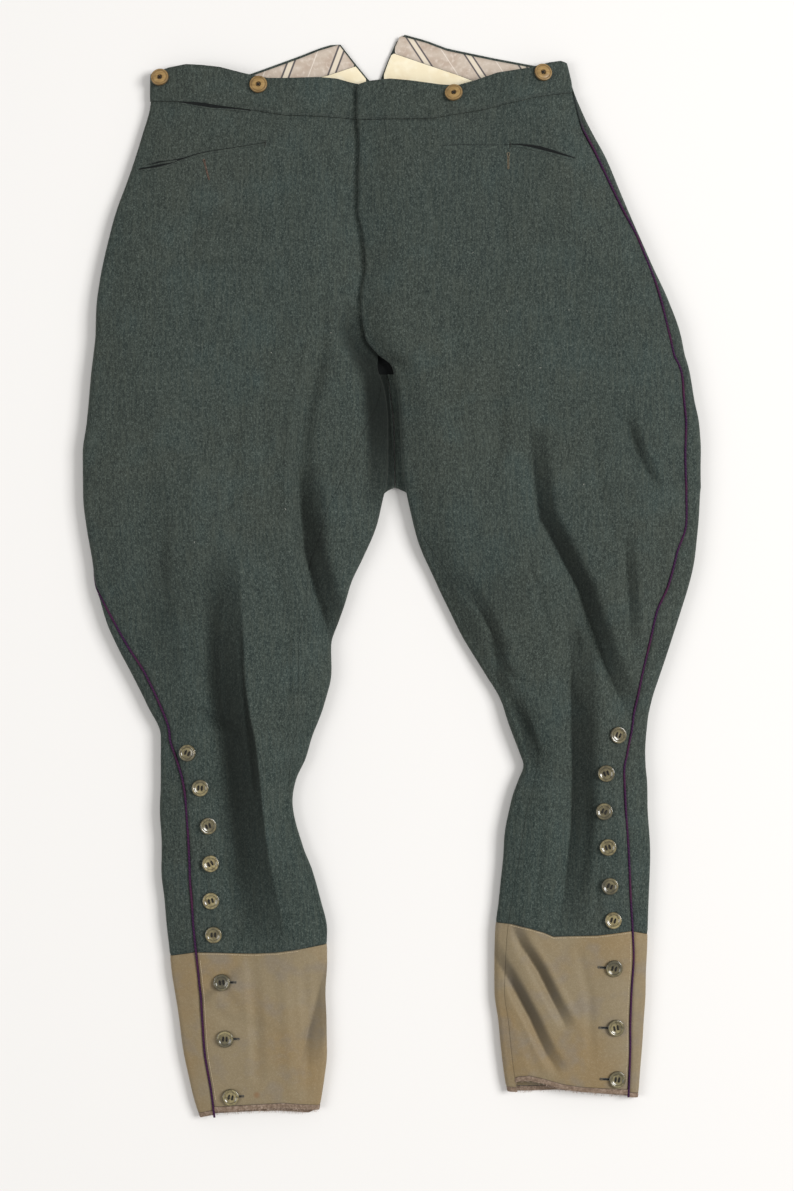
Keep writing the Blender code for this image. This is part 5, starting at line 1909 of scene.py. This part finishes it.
# Painted shadow: the gaping lens is a near-black strip.
fob_mouth = ribbon("fob_pocket_mouth", FOB_UPPER, FOB_LOWER, 0.45)
fob_lip = lip("fob_pocket_lip", shifted(FOB_LOWER, -0.7), 1.7, 1.5, 0.5, MATERIALS["wool"])
TRIM.extend([(fob_mouth, "wool"), (fob_lip, "wool")])

# %% [markdown]
# ## Painted shadow at the crotch
#
# Where fly and inseams meet, a small near-black patch of painted shadow lies behind the
# seams. It closes the point where the panels' corners come together.

# %% Crotch shadow patch
SHADOW_PATCH_HEIGHT = 2.9
shadow_patch_grid = np.array([
    [(x, y, SHADOW_PATCH_HEIGHT, x, 0.0, 0.0) for x in (-15, -9, -3, 2)] for y in (218, 206, 194)
], float)
crotch_shadow_patch = cloth_mesh("crotch_shadow_patch", [shadow_patch_grid], 0.5)
crotch_shadow_patch.data.materials.append(MATERIALS["inside"])
TRIM.append((crotch_shadow_patch, "wool"))

# %% [markdown]
# ## Buttonholes
#
# A worked buttonhole is a slit whose edge is covered with close purl stitches. Here the
# edge is one cord that swells at every stitch, run round the slit and, where the hole has
# one, round its eyelet. The slit itself is a dark strip of painted shadow.

# %% Buttonholes
def make_buttonhole(name, start, end, width, thread, eyelet=0.0):
    """A worked buttonhole from start to end; an eyelet radius rounds its start."""
    start, end = np.array(start, float), np.array(end, float)
    length = np.linalg.norm(end - start)
    forward = (end - start) / length
    side = np.array([-forward[1], forward[0]])
    round_end = [
        (eyelet or width) * (math.cos(turn * math.pi) * forward + math.sin(turn * math.pi) * side)
        for turn in np.linspace(0.5, 1.5, 9)
    ]
    one_side = [forward * length * step - side * width for step in np.linspace(0.15, 1, 12)]
    other_side = [forward * length * step + side * width for step in np.linspace(1, 0.15, 12)]
    outline = [start + offset for offset in (*round_end, *one_side, *other_side, round_end[0])]
    points = on_cloth([tuple(p) for p in outline], 0.25, int(2.4 * length / 0.45))
    swell_by = 0.36 + 0.12 * np.sin(np.arange(len(points)) * math.pi / 1.5)
    edge = tube_mesh(name + "_edge", points, swell_by, 6)
    edge.data.materials.append(thread)
    slit_path = [start - forward * eyelet * 0.4, start + forward * length * 0.5, end]
    slit_width = max(0.9, width * 1.3)
    # Painted shadow: the slit is a near-black strip.
    slit = lip(name + "_slit", slit_path, slit_width, 0.5, 0.12, MATERIALS["inside"])
    return join_pieces(name, [edge, slit])


CANVAS_HOLES = {
    "right": (
        ((-168.6, -404.5), (-154.6, -404.3)), ((-165.6, -460.7), (-151.6, -460.9)),
        ((-160.3, -519.1), (-147.4, -518.2)),
    ),
    "left": (
        ((220.3, -390.5), (204.4, -389.2)), ((222.2, -450.0), (205.4, -449.6)),
        ((223.8, -501.6), (206.8, -501.0)),
    ),
}
POCKET_HOLES = (
    ("pocket_buttonhole_right", (-186.6, 411.5), (-181.5, 392.0), 0.45, "rust_thread", 0.9),
    ("pocket_buttonhole_left", (115.4, 417.5), (115.4, 402.5), 0.55, "brown_thread", 1.3),
)
for leg, holes in CANVAS_HOLES.items():
    for number, (start, end) in enumerate(holes, 1):
        name = f"buttonhole_{leg}_{number}"
        hole = make_buttonhole(name, start, end, 0.85, MATERIALS["hole_thread"])
        TRIM.append((hole, "canvas"))
for name, start, end, width, thread, eyelet in POCKET_HOLES:
    hole = make_buttonhole(name, start, end, width, MATERIALS[thread], eyelet)
    TRIM.append((hole, "wool"))

# %% [markdown]
# ## Stitching
#
# Rows of single stitches run just below the canvas seams, beside the piping on the canvas
# and along the waist seam. A stitch is a short thread that dips into the cloth at both
# ends.

# %% Rows of stitches
STITCH_PITCH = 2.3
STITCH_LENGTH = 1.9
STITCH_RADIUS = 0.34
STITCH_SIDES = 5
STITCH_RISE = np.array((-0.12, 0.12, 0.12, -0.12))


def stitch_row(name, path, material):
    """A row of stitches along a path, each a thread whose two ends dip into the cloth."""
    nodes = np.array(path, float)
    way = way_along(nodes)
    vertices, faces = [], []
    for first in np.arange(0, way[-1] - STITCH_LENGTH, STITCH_PITCH):
        at = np.linspace(first, first + STITCH_LENGTH, 4)
        xs, ys = np.interp(at, way, nodes[:, 0]), np.interp(at, way, nodes[:, 1])
        z = [top_of(x, y) for x, y in zip(xs, ys)]
        if None in z:
            continue
        points = np.stack([xs, ys, np.array(z) + STITCH_RISE], axis=1)
        tangent = points[-1] - points[0]
        tangent /= np.linalg.norm(tangent)
        side = np.cross(tangent, (0, 0, 1.0))
        side /= np.linalg.norm(side)
        above = np.cross(side, tangent)
        faces += tube_faces(len(points), STITCH_SIDES, len(vertices))
        for point in points:
            for k in range(STITCH_SIDES):
                angle = 2 * math.pi * k / STITCH_SIDES
                out = math.cos(angle) * side + math.sin(angle) * above
                vertices.append(point + STITCH_RADIUS * out)
    piece = closed_piece(name, vertices, faces)
    piece.data.materials.append(material)
    finish_shape(piece, 60)
    return piece


def beside_piping(leg, ys, offset):
    """A path on the button side of the piping, offset mm from the outseam."""
    path = []
    for y in ys:
        line, length, marks = leg_line(leg, y)
        x = np.interp(marks["outseam"] + offset, length, line[:, 0])
        path.append((float(x), float(y)))
    return tuple(path)


right_ys, left_ys = np.linspace(-383, -522, 24), np.linspace(-362, -506, 24)
right_seam, left_seam = CANVAS_SEAM["right"][1:-1], CANVAS_SEAM["left"][1:-1]
STITCH_ROWS = (
    ("canvas_stitches_right", shifted(right_seam, -1.5), "canvas_thread", "canvas"),
    ("canvas_stitches_left", shifted(left_seam, -1.5), "canvas_thread", "canvas"),
    ("placket_stitches_right", beside_piping("right", right_ys, 3.4), "canvas_thread", "canvas"),
    ("placket_stitches_left", beside_piping("left", left_ys, 3.4), "canvas_thread", "canvas"),
    ("waist_stitches_right", shifted(WAIST_SEAM["right"][1:], 2.0), "wool_thread", "wool"),
    ("waist_stitches_left", shifted(WAIST_SEAM["left"][:-1], 2.0), "wool_thread", "wool"),
)
for name, path, thread, slot_name in STITCH_ROWS:
    TRIM.append((stitch_row(name, path, MATERIALS[thread]), slot_name))
print("trim pieces so far:", len(TRIM))

# %% [markdown]
# ## Fraying and lint
#
# The tape at the hems has frayed: short pale and mauve fibres stick out of its lower
# edge. A few specks of lint lie on the wool.

# %% Loose fibres
FIBRE_RINGS = 5
FIBRE_SIDES = 3


def fibres(name, starts, reach, radius, material, spread=1.0):
    """Many short bent fibres in one mesh. Each start gives a place and a direction."""
    vertices, faces = [], []
    up = np.array([0, 0, 1.0])
    for place, heading in starts:
        length = RNG.uniform(*reach)
        bend = RNG.uniform(-1.2, 1.2) * spread
        point = np.array(place, float)
        angle = heading + RNG.uniform(-0.6, 0.6) * spread
        lift = RNG.uniform(-0.1, 0.25)
        thick = radius * RNG.uniform(0.7, 1.2)
        faces += tube_faces(FIBRE_RINGS, FIBRE_SIDES, len(vertices))
        for _ in range(FIBRE_RINGS):
            side = np.array([-math.sin(angle), math.cos(angle), 0.0])
            for corner in range(FIBRE_SIDES):
                turn = 2 * math.pi * corner / FIBRE_SIDES
                vertices.append(point + thick * (math.cos(turn) * side + math.sin(turn) * up))
            point = point + length / 4 * np.array([math.cos(angle), math.sin(angle), lift])
            point[2] = max(point[2], thick)
            angle += bend / 4
    piece = closed_piece(name, vertices, faces)
    piece.data.materials.append(material)
    return piece


HEM_THICKNESS = 2.0


def hem_fibres(line, span, count, depth):
    """Starts of fibres along a hem line, pointing away from the cloth."""
    starts = []
    for _ in range(count):
        x = RNG.uniform(*span)
        y = float(line_y(line, x)) + RNG.uniform(-0.2, depth)
        z = top_of(x, y + 1.0)
        z = HEM_THICKNESS if z is None else z
        starts.append(((x, y, max(0.3, z - RNG.uniform(0.0, 1.6))), -math.pi / 2))
    return starts


HEM_SPANS = {"right": ((-190, -74), (-186, -72)), "left": ((116, 243), (118, 243))}
for leg, (front_span, back_span) in HEM_SPANS.items():
    starts = hem_fibres(FRONT_HEM[leg], front_span, 90, 0.6)
    fray = fibres(f"hem_fray_front_{leg}", starts, (0.8, 2.6), 0.13, MATERIALS["fray"])
    TRIM.append((fray, "tape"))
    starts = hem_fibres(BACK_HEM[leg], back_span, 110, 0.5)
    fray = fibres(f"hem_fray_back_{leg}", starts, (0.8, 3.2), 0.13, MATERIALS["fray"])
    TRIM.append((fray, "tape"))
LINT = (
    (114, 262), (175, 263), (125, 207), (146, 205), (-195, 33),
    (-105, 64), (-120, 220), (80, 320), (-60, 240), (190, 90),
)
lint_starts = [((x, y, top_of(x, y) + 0.2), RNG.uniform(0, 6)) for x, y in LINT]
lint = fibres("lint", lint_starts, (1.0, 2.2), 0.22, MATERIALS["lint"], 2.0)
TRIM.append((lint, "wool"))

# %% [markdown]
# ## Riding on the frame
#
# Every piece rides on the one body, and the CAD nodes that it replaces are hidden. Each
# sheet of cloth prints the size it was cut to, round the leg and along it, and its area.

# %% Say what each piece stands for
for leg in ("right", "left"):
    for part, piece in PANELS[leg].items():
        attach(piece, "root")
        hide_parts(f"{part}_{leg}")
    for part, piece in LINING[leg].items():
        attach(piece, "root")
        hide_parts(f"fishtail_{part}_{leg}")
    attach(PIPING[leg], "root")
    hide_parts(f"piping_{leg}")
    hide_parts(f"pocket_welt_{leg}")
for piece, node, slot_name in BUTTONS:
    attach(piece, "root")
    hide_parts(node)
for piece, slot_name in TRIM:
    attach(piece, "root")

def one_layer(piece):
    """Area of one layer of a cloth piece, in square metres."""
    return sum(face.area for face in piece.data.polygons) / 2


# Width, length and area in metres of what shows of each cut piece. The pieces on a sheet
# are the ones sewn to it.
CUTS = {
    "front": {"right": (0.309, 0.851, 0.181), "left": (0.308, 0.840, 0.175)},
    "back": {"right": (0.374, 0.911, 0.231), "left": (0.344, 0.900, 0.226)},
    "waistband": {"right": (0.228, 0.054, 0.0084), "left": (0.225, 0.059, 0.0078)},
    "canvas_front": {"right": (0.136, 0.168, 0.0199), "left": (0.132, 0.175, 0.0191)},
    "canvas_back": {"right": (0.193, 0.174, 0.0270), "left": (0.194, 0.175, 0.0280)},
    "binding_front": {"right": (0.119, 0.010, 0.0007), "left": (0.130, 0.010, 0.0008)},
    "binding_back": {"right": (0.180, 0.010, 0.0009), "left": (0.186, 0.010, 0.0011)},
    "satin": {"right": (0.110, 0.044, 0.0026), "left": (0.135, 0.047, 0.0034)},
    "cotton": {"right": (0.122, 0.057, 0.0031), "left": (0.146, 0.060, 0.0048)},
}
SEWN_TO = {piece.name: piece for piece, _ in TRIM}
for leg in ("right", "left"):
    sheets = {**PANELS[leg], **LINING[leg]}
    sewn = {part: [] for part in sheets}
    sewn["front"] = [PIPING[leg], POCKETS[leg]]
    for piece, node, slot_name in BUTTONS:
        if node.startswith(f"leg_button_{leg}"):
            sewn["canvas_front" if int(node[-1]) > 6 else "front"].append(piece)
        elif node.startswith(f"brace_button_{leg}"):
            sewn["waistband"].append(piece)
    sewn["canvas_front"] += [SEWN_TO[f"buttonhole_{leg}_{number}"] for number in (1, 2, 3)]
    sewn["binding_front"] += [SEWN_TO[f"hem_fray_front_{leg}"]]
    sewn["binding_back"] += [SEWN_TO[f"hem_fray_back_{leg}"]]
    for part, piece in sheets.items():
        width, length, area = CUTS[part][leg]
        print(piece.name, "cut", width, "x", length, "m;", round(one_layer(piece), 4), "m2")


# %% [markdown]
# ## Floor, light and camera
#
# The breeches lie on a pale surface under soft studio light. The main light comes from
# the right, so every edge throws a soft shadow to the left; a weaker one fills from the
# left. The camera looks straight down.

# %% Floor
bpy.ops.object.select_all(action="DESELECT")
bpy.ops.mesh.primitive_plane_add(size=6.0, location=(0, 0, -0.0006))
floor = bpy.context.object
floor.name = "floor"
floor_material = bpy.data.materials.new("pale_surface")
floor_material.use_nodes = True
surface = floor_material.node_tree.nodes["Principled BSDF"]
surface.inputs["Base Color"].default_value = (0.80, 0.785, 0.765, 1.0)
surface.inputs["Roughness"].default_value = 0.7
surface.inputs["Specular IOR Level"].default_value = 0.2
floor.data.materials.append(floor_material)

# %% Lights
def soft_light(name, place, size, power):
    """A square area light that looks at the middle of the garment."""
    lamp = bpy.data.lights.new(name, "AREA")
    lamp.size = size
    lamp.energy = power
    light = bpy.data.objects.new(name, lamp)
    light.location = place
    light.rotation_euler = (-Vector(place)).to_track_quat("-Z", "Y").to_euler()
    bpy.context.scene.collection.objects.link(light)


soft_light("key_from_the_right", (4.4, 0.8, 4.2), 2.6, 340.0)
soft_light("fill_from_the_left", (-4.2, -0.5, 3.8), 3.0, 100.0)
world = bpy.data.worlds.new("studio")
world.use_nodes = True
world.node_tree.nodes["Background"].inputs["Color"].default_value = (1.0, 0.99, 0.98, 1.0)
world.node_tree.nodes["Background"].inputs["Strength"].default_value = 0.44
bpy.context.scene.world = world
bpy.context.scene.view_settings.view_transform = "Standard"

# %% Camera
VIEW_HEIGHT = 1.191
CAMERA_HEIGHT = 2.4
camera_data = bpy.data.cameras.new("from_above")
camera_data.sensor_fit = "VERTICAL"
camera_data.sensor_height = 36.0
camera_data.lens = 36.0 * CAMERA_HEIGHT / VIEW_HEIGHT
camera = bpy.data.objects.new("from_above", camera_data)
camera.location = (0.005, -0.0205, CAMERA_HEIGHT)
bpy.context.scene.collection.objects.link(camera)
bpy.context.scene.camera = camera
